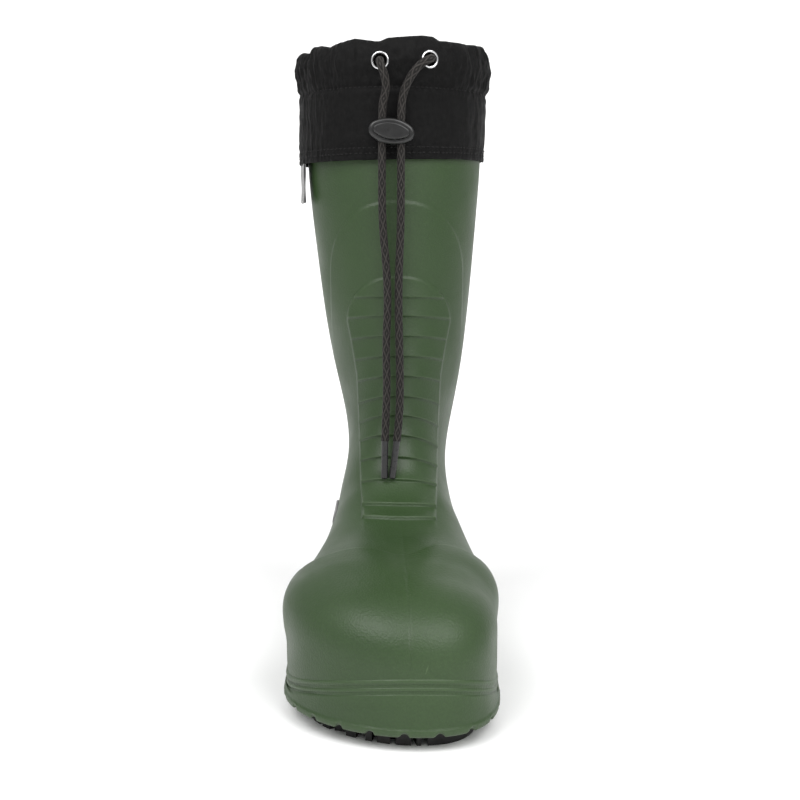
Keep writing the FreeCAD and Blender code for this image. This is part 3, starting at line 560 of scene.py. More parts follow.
# front y, z, back y, z, lateral x, medial x, front power, back power
BOOT_SECTIONS = [
    (-0.066, 0.0885, -0.066, 0.014, -0.0606, 0.0603, 2.45, 8.0),
    (-0.044, 0.0915, -0.042, 0.014, -0.0563, 0.0583, 2.35, 8.0),
    (-0.024, 0.0975, -0.012, 0.014, -0.0510, 0.0545, 2.25, 7.0),
    (-0.008, 0.1060, 0.028, 0.014, -0.0460, 0.0505, 2.15, 6.0),
    (0.003, 0.1160, 0.075, 0.014, -0.0425, 0.0465, 2.1, 5.0),
    (0.010, 0.1270, 0.128, 0.015, -0.0395, 0.0425, 2.1, 4.2),
    (0.014, 0.1390, 0.1545, 0.028, -0.0370, 0.0395, 2.1, 3.0),
    (0.016, 0.1520, 0.1562, 0.057, -0.0330, 0.0370, 2.05, 2.4),
    (0.017, 0.1680, 0.1505, 0.091, -0.0310, 0.0375, 2.0, 2.1),
    (0.0175, 0.1860, 0.1450, 0.122, -0.0335, 0.0415, 2.0, 2.0),
    (0.0178, 0.2080, 0.1440, 0.155, -0.0395, 0.0465, 2.0, 2.0),
    (0.018, 0.2350, 0.1470, 0.196, -0.0460, 0.0508, 2.0, 2.0),
    (0.0175, 0.2650, 0.1510, 0.240, -0.0510, 0.0543, 2.0, 2.0),
    (0.017, 0.2960, 0.1540, 0.285, -0.0555, 0.0574, 2.0, 2.0),
    (0.017, 0.3220, 0.1550, 0.322, -0.0580, 0.0594, 2.0, 2.0),
    (0.017, 0.3580, 0.1550, 0.358, -0.0580, 0.0594, 2.0, 2.0),
]


def toe_sections(inset, floor, boxy):
    """Upright sections from the toe's tip to the widest part of the toe box."""
    rows = []
    for turn in np.linspace(0.02, np.pi / 2, 26):
        reach = max(math.cos(turn), 0.0) ** (2 / PLAN_POWER)
        spread = math.sin(turn) ** (2 / PLAN_POWER)
        y = TOE_ROOT_Y - (TOE_ROOT_Y - TOE_TIP_Y - TIP_INSET_SHARE * inset) * reach
        rise = (1 - reach ** CROWN_POWER) ** (1 / CROWN_POWER)
        top = TOE_NOSE_Z + (TOE_CROWN_Z - inset - TOE_NOSE_Z) * rise
        lift = TOE_BOTTOM_LIFT if floor < TOE_NOSE_Z - LEAST_NOSE_HEIGHT else 0.0
        bottom = floor + lift * (1 - spread)
        centre = TOE_CENTRE_X + TOE_SWING_X * reach ** 2
        half = (TOE_HALF - inset) * spread
        rows.append((y, top, y, bottom, centre - half, centre + half, TOE_FRONT_POWER, boxy))
    return rows


def drawn_in(section, inset, floor):
    """A section drawn in by the inset, with its lower end held at the floor."""
    front_y, front_z, back_y, back_z, lateral, medial, front_power, back_power = section
    length = math.hypot(back_y - front_y, front_z - back_z)
    lean_y, lean_z = (front_y - back_y) / length, (front_z - back_z) / length
    lift = max(inset, (floor - back_z) / lean_z) if lean_z > LEAST_LEAN else inset
    return (front_y - inset * lean_y, front_z - inset * lean_z, back_y + lift * lean_y,
            back_z + lift * lean_z, lateral + inset, medial - inset, front_power, back_power)


def form_rows(inset, floor, top, spacing, boxy=BOXY_POWER, fine=None):
    """Section rows of the boot's form, spaced evenly over its surface, tip of the toe first."""
    knots = toe_sections(inset, floor, boxy)
    knots += [drawn_in(row, inset, floor) for row in BOOT_SECTIONS[:-1]]
    last = list(drawn_in(BOOT_SECTIONS[-1], inset, floor))
    last[1] = last[3] = top
    knots = np.array(knots + [last])
    travel = lengths_along(knots[:, :6])
    dense = natural_cubic(travel, knots, np.linspace(0, travel[-1], 3000))
    moved = np.zeros(len(dense) - 1)
    for pair in ((0, 1), (2, 3)):
        moved += np.linalg.norm(np.diff(dense[:, pair], axis=0), axis=1)
    moved += np.linalg.norm(np.diff(dense[:, [0, 1, 4]], axis=0), axis=1)
    moved /= 3
    if fine is not None:
        low, high, share = fine
        inside = (dense[1:, 1] > low) & (dense[1:, 1] < high) & (dense[1:, 0] > TOE_ROOT_Y)
        moved = np.where(inside, moved / share, moved)
    total = np.concatenate([[0.0], np.cumsum(moved)])
    at = np.linspace(0, total[-1], int(total[-1] / spacing) + 2)
    return np.stack([np.interp(at, total, dense[:, column]) for column in range(8)], axis=1)


def ring_points(rows, columns):
    """Evenly spaced points round each section, starting at the middle of its back."""
    turn = np.linspace(-np.pi / 2, 1.5 * np.pi, 721)
    across, along = -np.cos(turn), np.sin(turn)
    points = np.zeros((len(rows), columns, 3))
    for index, row in enumerate(rows):
        front_y, front_z, back_y, back_z, lateral, medial, front_power, back_power = row
        power = np.where(along >= 0, front_power, back_power)
        side = np.copysign(np.abs(across) ** (2 / power), across)
        ahead = np.copysign(np.abs(along) ** (2 / power), along)
        ring = np.stack([(lateral + medial) / 2 + (medial - lateral) / 2 * side,
                         (front_y + back_y) / 2 + (front_y - back_y) / 2 * ahead,
                         (front_z + back_z) / 2 + (front_z - back_z) / 2 * ahead], axis=1)
        points[index] = evenly(ring, columns + 1)[:-1]
    return points


# ---- moulded shell

SHIN_RIBS_Z = [0.2337, 0.2215, 0.2086, 0.1956, 0.1826, 0.1695, 0.157, 0.144, 0.130, 0.116, 0.103, 0.097]
PANEL_LEVELS = [0.097, 0.130, 0.157, 0.190, 0.205, 0.224]
PANEL_HALVES = [0.0230, 0.0245, 0.0255, 0.0270, 0.0295, 0.0330]
CAP_EDGE_X = [-0.060, -0.045, -0.020, 0.006, 0.030, 0.045, 0.060]
CAP_EDGE_Y = [-0.067, -0.070, -0.069, -0.075, -0.059, -0.056, -0.052]
WALL = 0.006
CAVITY_FLOOR = 0.030
CAVITY_BOXY = 2.8
SHELL_COLUMNS = 400
SHELL_SPACING, CAVITY_SPACING = 0.00115, 0.005
# rows lie closer together between these heights, by this share
SHIN_ROWS = (0.088, 0.255, 0.65)
# middle x, half width, height where the arch springs, rise above it
OUTER_ARCH = (0.0025, 0.0437, 0.254, 0.0405)
INNER_ARCH_X, INNER_ARCH_SPRING, INNER_ARCH_RISE = 0.0038, 0.222, 0.0242
ARCH_POWER = 2.3
OUTER_STEP, INNER_STEP = 0.0008, 0.0007
BEAD_HEIGHT, BEAD_WIDTH = 0.0004, 0.0008
LEAST_RIB, RIB_GROWTH = 0.0014, 0.0008
FIRST_RIB_RUN = 0.013
# how far a rib's ends turn up, by height
SMILE_Z = [0.09, 0.10, 0.13, 0.23]
SMILE_RISE = [0.0075, 0.0055, 0.0042, 0.0036]
CAP_HEIGHT, CAP_DIP, CAP_DIP_X, CAP_DIP_WIDTH = 0.0042, 0.0030, 0.006, 0.011
SEAM_Y = [-0.155, -0.024]
SEAM_X = [0.0092, 0.0053]
SEAM_DEPTH, SEAM_WIDTH = 0.00035, 0.0005


def arch_distance(x, level, centre, half, spring, rise):
    """How far inside an upside-down U a point lies; negative outside."""
    up = np.maximum(level - spring, 0) / rise
    reach = (np.abs((x - centre) / half) ** ARCH_POWER + up ** ARCH_POWER) ** (1 / ARCH_POWER)
    return (1 - reach) * np.minimum(half, rise)


def shell_relief(points, rows):
    """Height of the moulded panels, shin ribs, toe cap and toe seam above the plain form."""
    x, y, z = points[..., 0], points[..., 1], points[..., 2]
    columns = points.shape[1]
    share = np.abs(np.arange(columns) / columns - 0.5)[None, :]
    front = smooth_step(0.27, 0.24, share)
    level = rows[:, 1][:, None] * np.ones((1, columns))
    travel = lengths_along(rows[:, :2])[:, None] * np.ones((1, columns))

    outer = arch_distance(x, level, *OUTER_ARCH)
    outer = smooth_step(-0.0008, 0.0008, outer) * smooth_step(0.205, 0.245, level) * front
    half = np.interp(level, PANEL_LEVELS, PANEL_HALVES)
    inner = arch_distance(x, level, INNER_ARCH_X, half, INNER_ARCH_SPRING, INNER_ARCH_RISE)
    inner_edge = smooth_step(-0.0007, 0.0007, inner) * front * smooth_step(0.092, 0.102, level)
    relief = OUTER_STEP * outer + INNER_STEP * inner_edge
    bead = np.exp(-(inner / BEAD_WIDTH) ** 2) * front * smooth_step(0.10, 0.12, level)
    relief += BEAD_HEIGHT * bead

    off = np.clip((x - INNER_ARCH_X) / half, -1.2, 1.2)
    smile = np.interp(level, SMILE_Z, SMILE_RISE)
    phase = smile * off ** 2 - travel
    rib_at = np.sort(-np.interp(SHIN_RIBS_Z, rows[:, 1], travel[:, 0]))
    edges = np.concatenate([[rib_at[0] - FIRST_RIB_RUN], rib_at])
    steps = np.zeros_like(phase)
    for index in range(len(edges) - 1):
        start, end = edges[index], edges[index + 1]
        height = LEAST_RIB + RIB_GROWTH * index / (len(edges) - 1)
        climb = np.clip((phase - start) / (end - start), 0, 1) ** 1.6
        drop = 1 - smooth_step(end - 0.0004, end + 0.0006, phase)
        begun = smooth_step(start - 0.0004, start + 0.0006, phase)
        steps += height * climb * drop * begun
    relief += steps * smooth_step(-0.0006, 0.0014, inner) * front

    crown = rows[:, 1][:, None] - z
    edge = natural_cubic(CAP_EDGE_X, CAP_EDGE_Y, np.clip(x, -0.062, 0.062).reshape(-1)).reshape(x.shape)
    edge = edge + 0.5 * np.maximum(crown - 0.022, 0)
    ahead = edge - y
    tall = CAP_HEIGHT - CAP_DIP * np.exp(-((x - CAP_DIP_X) / CAP_DIP_WIDTH) ** 2)
    tall = tall * (1 - 0.6 * smooth_step(0.02, 0.06, crown))
    cap = smooth_step(0, 0.0022, ahead) * (1 - smooth_step(0.008, 0.052, ahead))
    relief += tall * cap * front

    seam_x = np.interp(y, SEAM_Y, SEAM_X)
    seam = np.exp(-((x - seam_x) / SEAM_WIDTH) ** 2) * front * smooth_step(0.1, 0.092, level)
    relief -= SEAM_DEPTH * seam
    return relief


def closed_cup(outer, inner):
    """Points and faces of a cup: a fine outside, a coarser inside and the rim between them."""
    rows_out, fine, _ = outer.shape
    rows_in, coarse, _ = inner.shape
    ratio = fine // coarse
    start = rows_out * fine
    points = np.concatenate([outer.reshape(-1, 3), inner.reshape(-1, 3),
                             [outer[0].mean(axis=0)], [inner[0].mean(axis=0)]])
    faces = grid_faces(rows_out, fine)
    faces += [face[::-1] for face in grid_faces(rows_in, coarse, start)]
    top_out, top_in = (rows_out - 1) * fine, start + (rows_in - 1) * coarse
    for index in range(fine):
        near = ((index + ratio // 2) // ratio) % coarse
        faces.append([top_out + index, top_out + (index + 1) % fine, top_in + near])
    for index in range(coarse):
        middle = (index * ratio + ratio // 2) % fine
        faces.append([top_out + middle, top_in + (index + 1) % coarse, top_in + index])
    end = start + rows_in * coarse
    for index in range(fine):
        faces.append([end, (index + 1) % fine, index])
    for index in range(coarse):
        faces.append([end + 1, start + index, start + (index + 1) % coarse])
    return points, faces


def make_upper(material):
    """The shell's foot and shaft, hollow, with its moulded relief."""
    rows = form_rows(0.0, FORM_BOTTOM_Z, SHELL_TOP, SHELL_SPACING, fine=SHIN_ROWS)
    outer = ring_points(rows, SHELL_COLUMNS)
    normals = grid_normals(outer)
    outer = outer + normals * shell_relief(outer, rows)[..., None]
    inner_rows = form_rows(WALL, CAVITY_FLOOR, SHELL_TOP, CAVITY_SPACING, boxy=CAVITY_BOXY)
    inner = ring_points(inner_rows, SHELL_COLUMNS // 4)
    points, faces = closed_cup(outer, inner)
    made = build("shell_upper", points, faces, material, "boot")
    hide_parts("shell")
    return made


# ---- midsole wall

LATERAL_EDGE = [(-0.060, -0.0614), (-0.030, -0.0555), (0.0, -0.0490), (0.030, -0.0440),
                (0.060, -0.0415), (0.090, -0.0405)]
MEDIAL_EDGE = [(0.090, 0.0425), (0.060, 0.0445), (0.030, 0.0480), (0.0, 0.0530),
               (-0.030, 0.0580), (-0.060, 0.0604)]
HEEL_BACK_Y = 0.157
HEEL_ROOT_Y = 0.110
HEEL_CENTRE_X = 0.001
HEEL_HALF = 0.041
HEEL_POWER = 2.3
SOLE_BOTTOM = 0.009
SOLE_INSIDE_Z = 0.022
NOTCH_HALF_WIDTH, NOTCH_HEIGHT = 0.0026, 0.0022
SOLE_COLUMNS = 720
# offset out from the plan, height: measured down from the sole's top line, then up from its bottom
SOLE_UPPER_PROFILE = [(-0.0035, 0.0010), (-0.0012, 0.0006), (-0.0002, 0.0002), (0.0004, -0.0004),
                      (0.0006, -0.0011), (0.0005, -0.0020), (0.0002, -0.0028), (-0.0003, -0.0033),
                      (-0.0007, -0.0037), (-0.0005, -0.0042), (0.0001, -0.0046), (0.0004, -0.0053),
                      (0.0004, -0.0061), (0.0001, -0.0067), (-0.0005, -0.0071), (-0.0007, -0.0075),
                      (-0.0004, -0.0080), (0.0002, -0.0085), (0.0004, -0.0093)]
SOLE_LOWER_PROFILE = [(0.0008, 0.0075), (0.0011, 0.0056), (0.0012, 0.0046), (0.0017, 0.0041),
                      (0.0019, 0.0034), (0.0019, 0.0016), (0.0015, 0.0006), (0.0007, 0.0),
                      (-0.0010, 0.0)]


def plan_outline(inset, count):
    """The sole's plan as a closed line, drawn in by the inset, starting at the toe's lateral root."""
    points = []
    for turn in np.linspace(-np.pi / 2, np.pi / 2, 41):
        reach = max(math.cos(turn), 0.0) ** (2 / PLAN_POWER)
        spread = math.copysign(abs(math.sin(turn)) ** (2 / PLAN_POWER), turn)
        x = TOE_CENTRE_X + TOE_SWING_X * reach ** 2 + (TOE_HALF - inset) * spread
        points.append((x, TOE_ROOT_Y - (TOE_ROOT_Y - TOE_TIP_Y - inset) * reach))
    points += [(x - inset, y) for y, x in MEDIAL_EDGE[::-1]]
    for turn in np.linspace(0, np.pi, 21):
        across, back = math.cos(turn), math.sin(turn)
        x = HEEL_CENTRE_X + (HEEL_HALF - inset) * math.copysign(abs(across) ** (2 / HEEL_POWER), across)
        points.append((x, HEEL_ROOT_Y + (HEEL_BACK_Y - HEEL_ROOT_Y - inset) * back ** (2 / HEEL_POWER)))
    points += [(x + inset, y) for y, x in LATERAL_EDGE[::-1]]
    points = np.array(points)
    wrapped = np.concatenate([points[-8:], points, points[:8]])
    travel = lengths_along(wrapped)
    at = np.linspace(travel[8], travel[8 + len(points)], count * 4, endpoint=False)
    line = natural_cubic(travel, wrapped, at)
    return evenly(np.concatenate([line, line[:1]]), count + 1)[:-1]


def outline_normals(line):
    along = np.roll(line, -1, axis=0) - np.roll(line, 1, axis=0)
    along /= np.linalg.norm(along, axis=1, keepdims=True)
    return np.stack([along[:, 1], -along[:, 0]], axis=1)


def sole_top_line(y):
    """Height of the sole's top edge: high round the toe, low along the foot, a little up at the heel."""
    toe = np.clip((-0.090 - y) / 0.070, 0, 1) ** 1.6
    return 0.023 + 0.018 * toe + 0.005 * smooth_step(0.02, 0.14, y)


def notch_lift(line, places, width, height):
    """How far small round notches lift the sole's lower edge."""
    travel = lengths_along(np.concatenate([line, line[:1]]))
    around, at = travel[-1], travel[:-1]
    lift = np.zeros(len(line))
    for place in places:
        off = np.abs((at - place * around + around / 2) % around - around / 2)
        lift = np.maximum(lift, height * np.sqrt(np.clip(1 - (off / width) ** 2, 0, 1)))
    return lift


def make_midsole(material, notches):
    """The sole's wall round the foot: top roll, two grooves and a notched lower lip."""
    line = plan_outline(0.0, SOLE_COLUMNS)
    out = outline_normals(line)
    top = sole_top_line(line[:, 1])
    lift = notch_lift(line, notches, NOTCH_HALF_WIDTH, NOTCH_HEIGHT)
    rows = [np.column_stack([line + out * offset, top + height]) for offset, height in SOLE_UPPER_PROFILE]
    for offset, height in SOLE_LOWER_PROFILE:
        near_edge = smooth_step(0.0046, 0.0016, height)
        level = SOLE_BOTTOM + height + lift * near_edge * (1 if height > 0 else 0.9)
        rows.append(np.column_stack([line + out * offset, level]))
    for inset in (0.004, 0.008, 0.0115):
        rows.append(np.column_stack([line - out * inset, np.full(len(line), SOLE_BOTTOM)]))
    low_inside = np.column_stack([line - out * 0.006, np.full(len(line), SOLE_INSIDE_Z)])
    high_inside = np.column_stack([line - out * 0.005, top + 0.0008])
    grid = np.array([low_inside, high_inside] + rows)
    faces = [face[::-1] for face in capped_faces(len(grid), SOLE_COLUMNS)]
    made = build("shell_midsole", grid, faces, material, "boot")
    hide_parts("shell")
    return made


# ---- liner

LINER_TOP = 0.345
LINER_SPACING = 0.004
LINER_COLUMNS = 144
FOIL_INSET, FOIL_FLOOR, FOIL_THICK = 0.0105, 0.0340, 0.0006
FELT_INSETS, FELT_FLOORS = (0.0068, 0.0098), (0.0303, 0.0332)
PILE_INSETS, PILE_FLOORS = (0.0112, 0.0142), (0.0346, 0.0377)
FOOTBED_LOW, FOOTBED_HIGH = 0.0385, 0.0433
# inset from the sole's plan and height, from the underside up over the soft edge
FOOTBED_PROFILE = [(0.0190, FOOTBED_LOW), (0.0178, FOOTBED_LOW + 0.0006), (0.0174, 0.0408),
                   (0.0180, FOOTBED_HIGH - 0.0006), (0.0192, FOOTBED_HIGH), (0.0240, FOOTBED_HIGH)]
FOOTBED_COLUMNS = 300
BINDING_Z = 0.3503
BINDING_INSET = 0.0105
BINDING_HALF_WIDTH, BINDING_HALF_HEIGHT = 0.0037, 0.005
BINDING_COLUMNS = 260
LOOP_MIDDLE_Y = 0.134
LOOP_LOW_Z, LOOP_HIGH_Z = 0.3512, 0.3648
LOOP_OUTER, LOOP_INNER = 0.0050, 0.0037
LOOP_HALF_WIDTH = 0.009


def roughened(points, normals, size, height):
    """Points pushed along their normals by smooth unevenness of a given grain."""
    moved = points.copy()
    for index in np.ndindex(points.shape[:-1]):
        moved[index] += normals[index] * height * mathutils.noise.noise(Vector(points[index] / size))
    return moved


def liner_skin(inset, floor):
    """Points of one skin of the liner, drawn in from the boot's form."""
    return ring_points(form_rows(inset, floor, LINER_TOP, LINER_SPACING), LINER_COLUMNS)


def make_liner_layer(name, node, insets, floors, material, uneven):
    """One thick layer of the liner: a boot-shaped cup between two insets."""
    outer, inner = (liner_skin(inset, floor) for inset, floor in zip(insets, floors))
    inner = roughened(inner, -grid_normals(inner), 0.009, uneven)
    points, faces = closed_cup(outer, inner)
    made = build(name, points, faces, material, "boot")
    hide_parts(node)
    return made


def top_ring(inset, count):
    """The form's level top ring, drawn in."""
    front_y, _, back_y, _, lateral, medial = BOOT_SECTIONS[-1][:6]
    turn = np.linspace(0, 2 * np.pi, count, endpoint=False)
    return np.column_stack([(lateral + medial) / 2 - ((medial - lateral) / 2 - inset) * np.sin(turn),
                            (front_y + back_y) / 2 + ((back_y - front_y) / 2 - inset) * np.cos(turn)])


def closed_rings(name, rings, material):
    """A closed ring-shaped piece from its rings, the last joined to the first."""
    grid = np.array(rings)
    return build(name, grid, ring_faces(*grid.shape[:2]), material, "boot")


def make_binding(material):
    """The tape rolled over the liner's top edge."""
    rings = []
    for turn in np.linspace(0, 2 * np.pi, 20, endpoint=False):
        ring = top_ring(BINDING_INSET - BINDING_HALF_WIDTH * math.cos(turn), BINDING_COLUMNS)
        level = BINDING_Z + BINDING_HALF_HEIGHT * math.sin(turn)
        rings.append(np.column_stack([ring, np.full(len(ring), level)]))
    made = closed_rings("liner_rim_binding", rings, material)
    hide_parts("liner_binding")


def make_pull_loop(material):
    """A closed loop of webbing on the back of the liner's rim."""
    turn = np.linspace(0, np.pi, 15)
    across = np.concatenate([np.cos(turn), -np.cos(turn)])
    up = np.concatenate([np.sin(turn), -np.sin(turn)])
    level = np.repeat([LOOP_HIGH_Z, LOOP_LOW_Z], len(turn))
    rings = []
    for radius, sides in ((LOOP_OUTER, (-1, 0, 1)), (LOOP_INNER, (1, 0, -1))):
        for side in sides:
            x = np.full(len(up), side * LOOP_HALF_WIDTH)
            rings.append(np.column_stack([x, LOOP_MIDDLE_Y + radius * across, level + radius * up]))
    made = closed_rings("liner_webbing_loop", rings, material)
    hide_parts("liner_pull_loop")


def make_footbed(material):
    """An insole with a soft edge."""
    rings = []
    for inset, level in FOOTBED_PROFILE:
        line = plan_outline(inset, FOOTBED_COLUMNS)
        rings.append(np.column_stack([line, np.full(len(line), level)]))
    grid = np.array(rings)
    faces = capped_faces(*grid.shape[:2])
    made = build("insole", grid, faces, material, "boot")
    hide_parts("footbed")


def make_foil(material):
    """The reflective sheet between felt and pile, one layer thick."""
    points = liner_skin(FOIL_INSET, FOIL_FLOOR)
    faces = grid_faces(len(points), LINER_COLUMNS)
    faces.append(list(range(LINER_COLUMNS))[::-1])
    made = build("liner_foil_layer", points, faces, material, "boot")
    thick = made.modifiers.new("foil", "SOLIDIFY")
    thick.thickness = FOIL_THICK
    thick.offset = 0
    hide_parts("liner_foil")


def make_liner():
    """All that the shell holds: the liner's layers, binding and loop, and the insole."""
    felt = fibrous("felt", (0.10, 0.10, 0.095, 1), (0.26, 0.26, 0.25, 1), 700.0, 0.0006, 0.2)
    pile = fibrous("pile", (0.035, 0.034, 0.033, 1), (0.13, 0.125, 0.12, 1), 420.0, 0.0016, 0.5)
    webbing = woven_nylon("webbing", (0.008, 0.008, 0.008, 1), (0.05, 0.05, 0.05, 1), 0.0012, 0.0004, 0.2)
    made = make_liner_layer("liner_felt_layer", "liner_felt", FELT_INSETS, FELT_FLOORS, felt,
                            0.0002)
    make_foil(crinkled_foil())
    made = make_liner_layer("liner_pile_layer", "liner_pile", PILE_INSETS, PILE_FLOORS, pile,
                            0.0009)
    make_binding(webbing)
    make_pull_loop(webbing)
    make_footbed(fibrous("insole_foam", (0.03, 0.03, 0.03, 1), (0.09, 0.09, 0.09, 1), 900.0, 0.0004, 0.1))


# ---- collar

# height, front y, back y, lateral x, medial x
COLLAR_RINGS = np.array([
    (0.300, 0.0136, 0.159, -0.0636, 0.0612), (0.321, 0.0136, 0.159, -0.0636, 0.0612),
    (0.345, 0.0132, 0.160, -0.0638, 0.0628), (0.366, 0.0126, 0.1605, -0.0636, 0.0630),
    (0.382, 0.0104, 0.1623, -0.0654, 0.0654), (0.397, 0.0126, 0.1605, -0.0634, 0.0638),
])
# offset out from the rings and height, from the inner hem up the wall and over the puff
COLLAR_PROFILE_MM = [
    (-1.4, 331), (-1.4, 325), (-1.3, 321.6), (-0.9, 320.7), (-0.45, 320.6), (0, 321.3), (0.1, 323),
    (-0.15, 324.6), (0.15, 326.5), (-0.15, 328.6), (0.1, 331), (0.1, 337), (0, 345), (0, 353), (0, 360),
    (-0.2, 363.5), (-1.1, 366), (-0.2, 368.5), (0, 372), (0.3, 378), (0.3, 385), (0, 390.5),
    (-0.7, 393.8), (-2.2, 396), (-4.5, 397), (-7.0, 396), (-9.3, 392.5), (-10.6, 386), (-11, 379),
    (-10, 372), (-6.5, 367.2), (-2.8, 366),
]
COLLAR_COLUMNS = 520
COLLAR_ROWS = 150
COLLAR_CLOTH = 0.0009
TOP_EDGE_X = [-0.063, -0.054, -0.0515, -0.046, -0.0405, -0.034, -0.0246, -0.0118, -0.008, -0.0034,
              0.0057, 0.0194, 0.0249, 0.0304, 0.0378, 0.047, 0.0535, 0.0623]
TOP_EDGE_Z = [0.3946, 0.3916, 0.3944, 0.3944, 0.3926, 0.3941, 0.3964, 0.3941, 0.394, 0.3958,
              0.3967, 0.3979, 0.3975, 0.3954, 0.3953, 0.3954, 0.3963, 0.3977]
HEM_EDGE_X = [-0.063, -0.058, -0.03, 0.0, 0.03, 0.061]
HEM_EDGE_Z = [0.3200, 0.3200, 0.3202, 0.3206, 0.3213, 0.3223]
# where each deep crease starts, its length, depth, width and how far it slants
CREASES = [(-0.054, 0.013, 0.0021, 0.0022, -0.0030), (-0.0405, 0.014, 0.0018, 0.0022, -0.0025),
           (-0.0100, 0.011, 0.0013, 0.0020, -0.0018), (0.0300, 0.012, 0.0017, 0.0022, 0.0020),
           (0.0480, 0.011, 0.0012, 0.0022, 0.0025), (-0.0250, 0.009, 0.0009, 0.0018, -0.0010)]
EYELET_POINTS = {
    "left": ((-0.0081, 0.01105, 0.3815), (-0.14345, -0.98966, 0.0)),
    "right": ((0.0231, 0.01540, 0.3827), (0.40191, -0.91568, 0.0)),
}
EYELET_HOLE = 0.0046
# radius and height round the eyelet's rolled metal, from the barrel's back over the crest
EYELET_PROFILE = [(0.0037, -0.0022), (0.0039, 0.0002), (0.0044, 0.0010), (0.0051, 0.00125),
                  (0.0056, 0.0008), (0.0058, 0.0001), (0.0056, -0.0004), (0.0045, -0.0005),
                  (0.0042, -0.0022)]
SEAM_Z = 0.366
HEM_ROWS_Z = (0.3246, 0.3286)
HEM_MIDDLE_Z = 0.3265
COLLAR_GIRTH = 0.40
COLLAR_RADIUS = 0.066
COLLAR_CENTRE_Y = 0.086
# height of the gathered top before it follows the edge's own line
PUFF_TOP_Z = 0.3968
LINING_INSETS = (-0.0124, -0.0131)
LINING_COLUMNS = 300
LINING_LEVELS = np.linspace(0.3570, 0.3925, 16)
STITCH_PITCH = 0.0035
CHANNEL_PITCH = 0.0034
STITCH_SHARE = 0.38
THREAD_RADIUS = 0.00032
THREAD_RISE = 0.00028


def collar_ring(level, offset, turn):
    """Points of the collar at a height, set out or in from its rings."""
    front_y, back_y, lateral, medial = (np.interp(level, COLLAR_RINGS[:, 0], COLLAR_RINGS[:, k])
                                        for k in range(1, 5))
    x = (lateral + medial) / 2 - ((medial - lateral) / 2 + offset) * np.sin(turn)
    y = (front_y + back_y) / 2 + ((back_y - front_y) / 2 + offset) * np.cos(turn)
    return np.stack([x, y, level + 0 * turn], axis=-1)


def soft_noise(x, y, seed):
    """Smooth unevenness between about -1 and 1 over two arrays of places."""
    flat = [mathutils.noise.fractal(Vector((a, b, seed)), 0.7, 2.0, 3)
            for a, b in zip(np.ravel(x), np.ravel(y))]
    return np.array(flat).reshape(np.shape(x))


def collar_surface():
    """The collar cloth's grid of points with its folds, and each row's height before them."""
    outline = np.array(COLLAR_PROFILE_MM) * MM
    travel = lengths_along(outline)
    profile = natural_cubic(travel, outline, np.linspace(0, travel[-1], COLLAR_ROWS))
    turn = np.linspace(0, 2 * np.pi, COLLAR_COLUMNS, endpoint=False)
    level = profile[:, 1][:, None] + 0 * turn[None, :]
    offset = profile[:, 0][:, None] + 0 * turn[None, :]
    plain = collar_ring(level, offset, turn[None, :] + 0 * level)
    x, y = plain[..., 0], plain[..., 1]
    ahead = smooth_step(0.095, 0.060, y)
    outside = smooth_step(-0.0065, -0.0045, offset)

    ridge = soft_noise(x / 0.013, y / 0.013, 4.0)
    top = ahead * np.interp(x, TOP_EDGE_X, TOP_EDGE_Z) + (1 - ahead) * (0.3945 + 0.0022 * ridge)
    rise = smooth_step(0.379, 0.394, level)
    level = level + (top - PUFF_TOP_Z) * rise
    low = np.interp(x, HEM_EDGE_X, HEM_EDGE_Z) - 0.3206 + 0.0006 * ridge * (1 - 0.7 * ahead)
    level = level + low * smooth_step(0.342, 0.326, level)

    arc = np.arctan2(x, COLLAR_CENTRE_Y - y) * COLLAR_RADIUS
    side_share = 0.35 + 0.65 * smooth_step(0.018, 0.05, np.abs(x - 0.008))
    gathers = soft_noise(arc / 0.0060, level / 0.030, 1.0) * 0.0012 * side_share
    swells = soft_noise(arc / 0.020, level / 0.020, 2.0) * 0.0012
    wrinkles = soft_noise(arc / 0.0035, level / 0.008, 3.0) * 0.0004
    puff = smooth_step(SEAM_Z, 0.372, level)
    depth = (gathers + wrinkles) * (0.45 + 0.75 * puff) + swells * (0.5 + 0.5 * puff)
    pucker = soft_noise(arc / 0.0028, level / 0.012, 5.0) * 0.0007
    at_seam = np.exp(-((level - SEAM_Z) / 0.006) ** 2)
    at_hem = 0.7 * np.exp(-((level - HEM_MIDDLE_Z) / 0.006) ** 2)
    depth += pucker * (at_seam + at_hem)
    for start, length, deep, wide, slant in CREASES:
        drop = (0.397 - level) / length
        line = start + slant * drop
        along = smooth_step(-0.3, 0.1, drop) * smooth_step(1.0, 0.5, drop)
        depth -= deep * np.exp(-((x - line) / wide) ** 2) * along * ahead
    near = np.full(x.shape, 1.0)
    for point, _ in EYELET_POINTS.values():
        reach = np.sqrt((x - point[0]) ** 2 + (level - point[2]) ** 2)
        near = np.minimum(near, np.where(y < 0.06, smooth_step(0.0058, 0.012, reach), 1.0))
    depth = np.clip(depth, -0.0024, 0.0026) * outside * near
    points = collar_ring(level, offset + depth, turn[None, :] + 0 * level)
    return points, profile


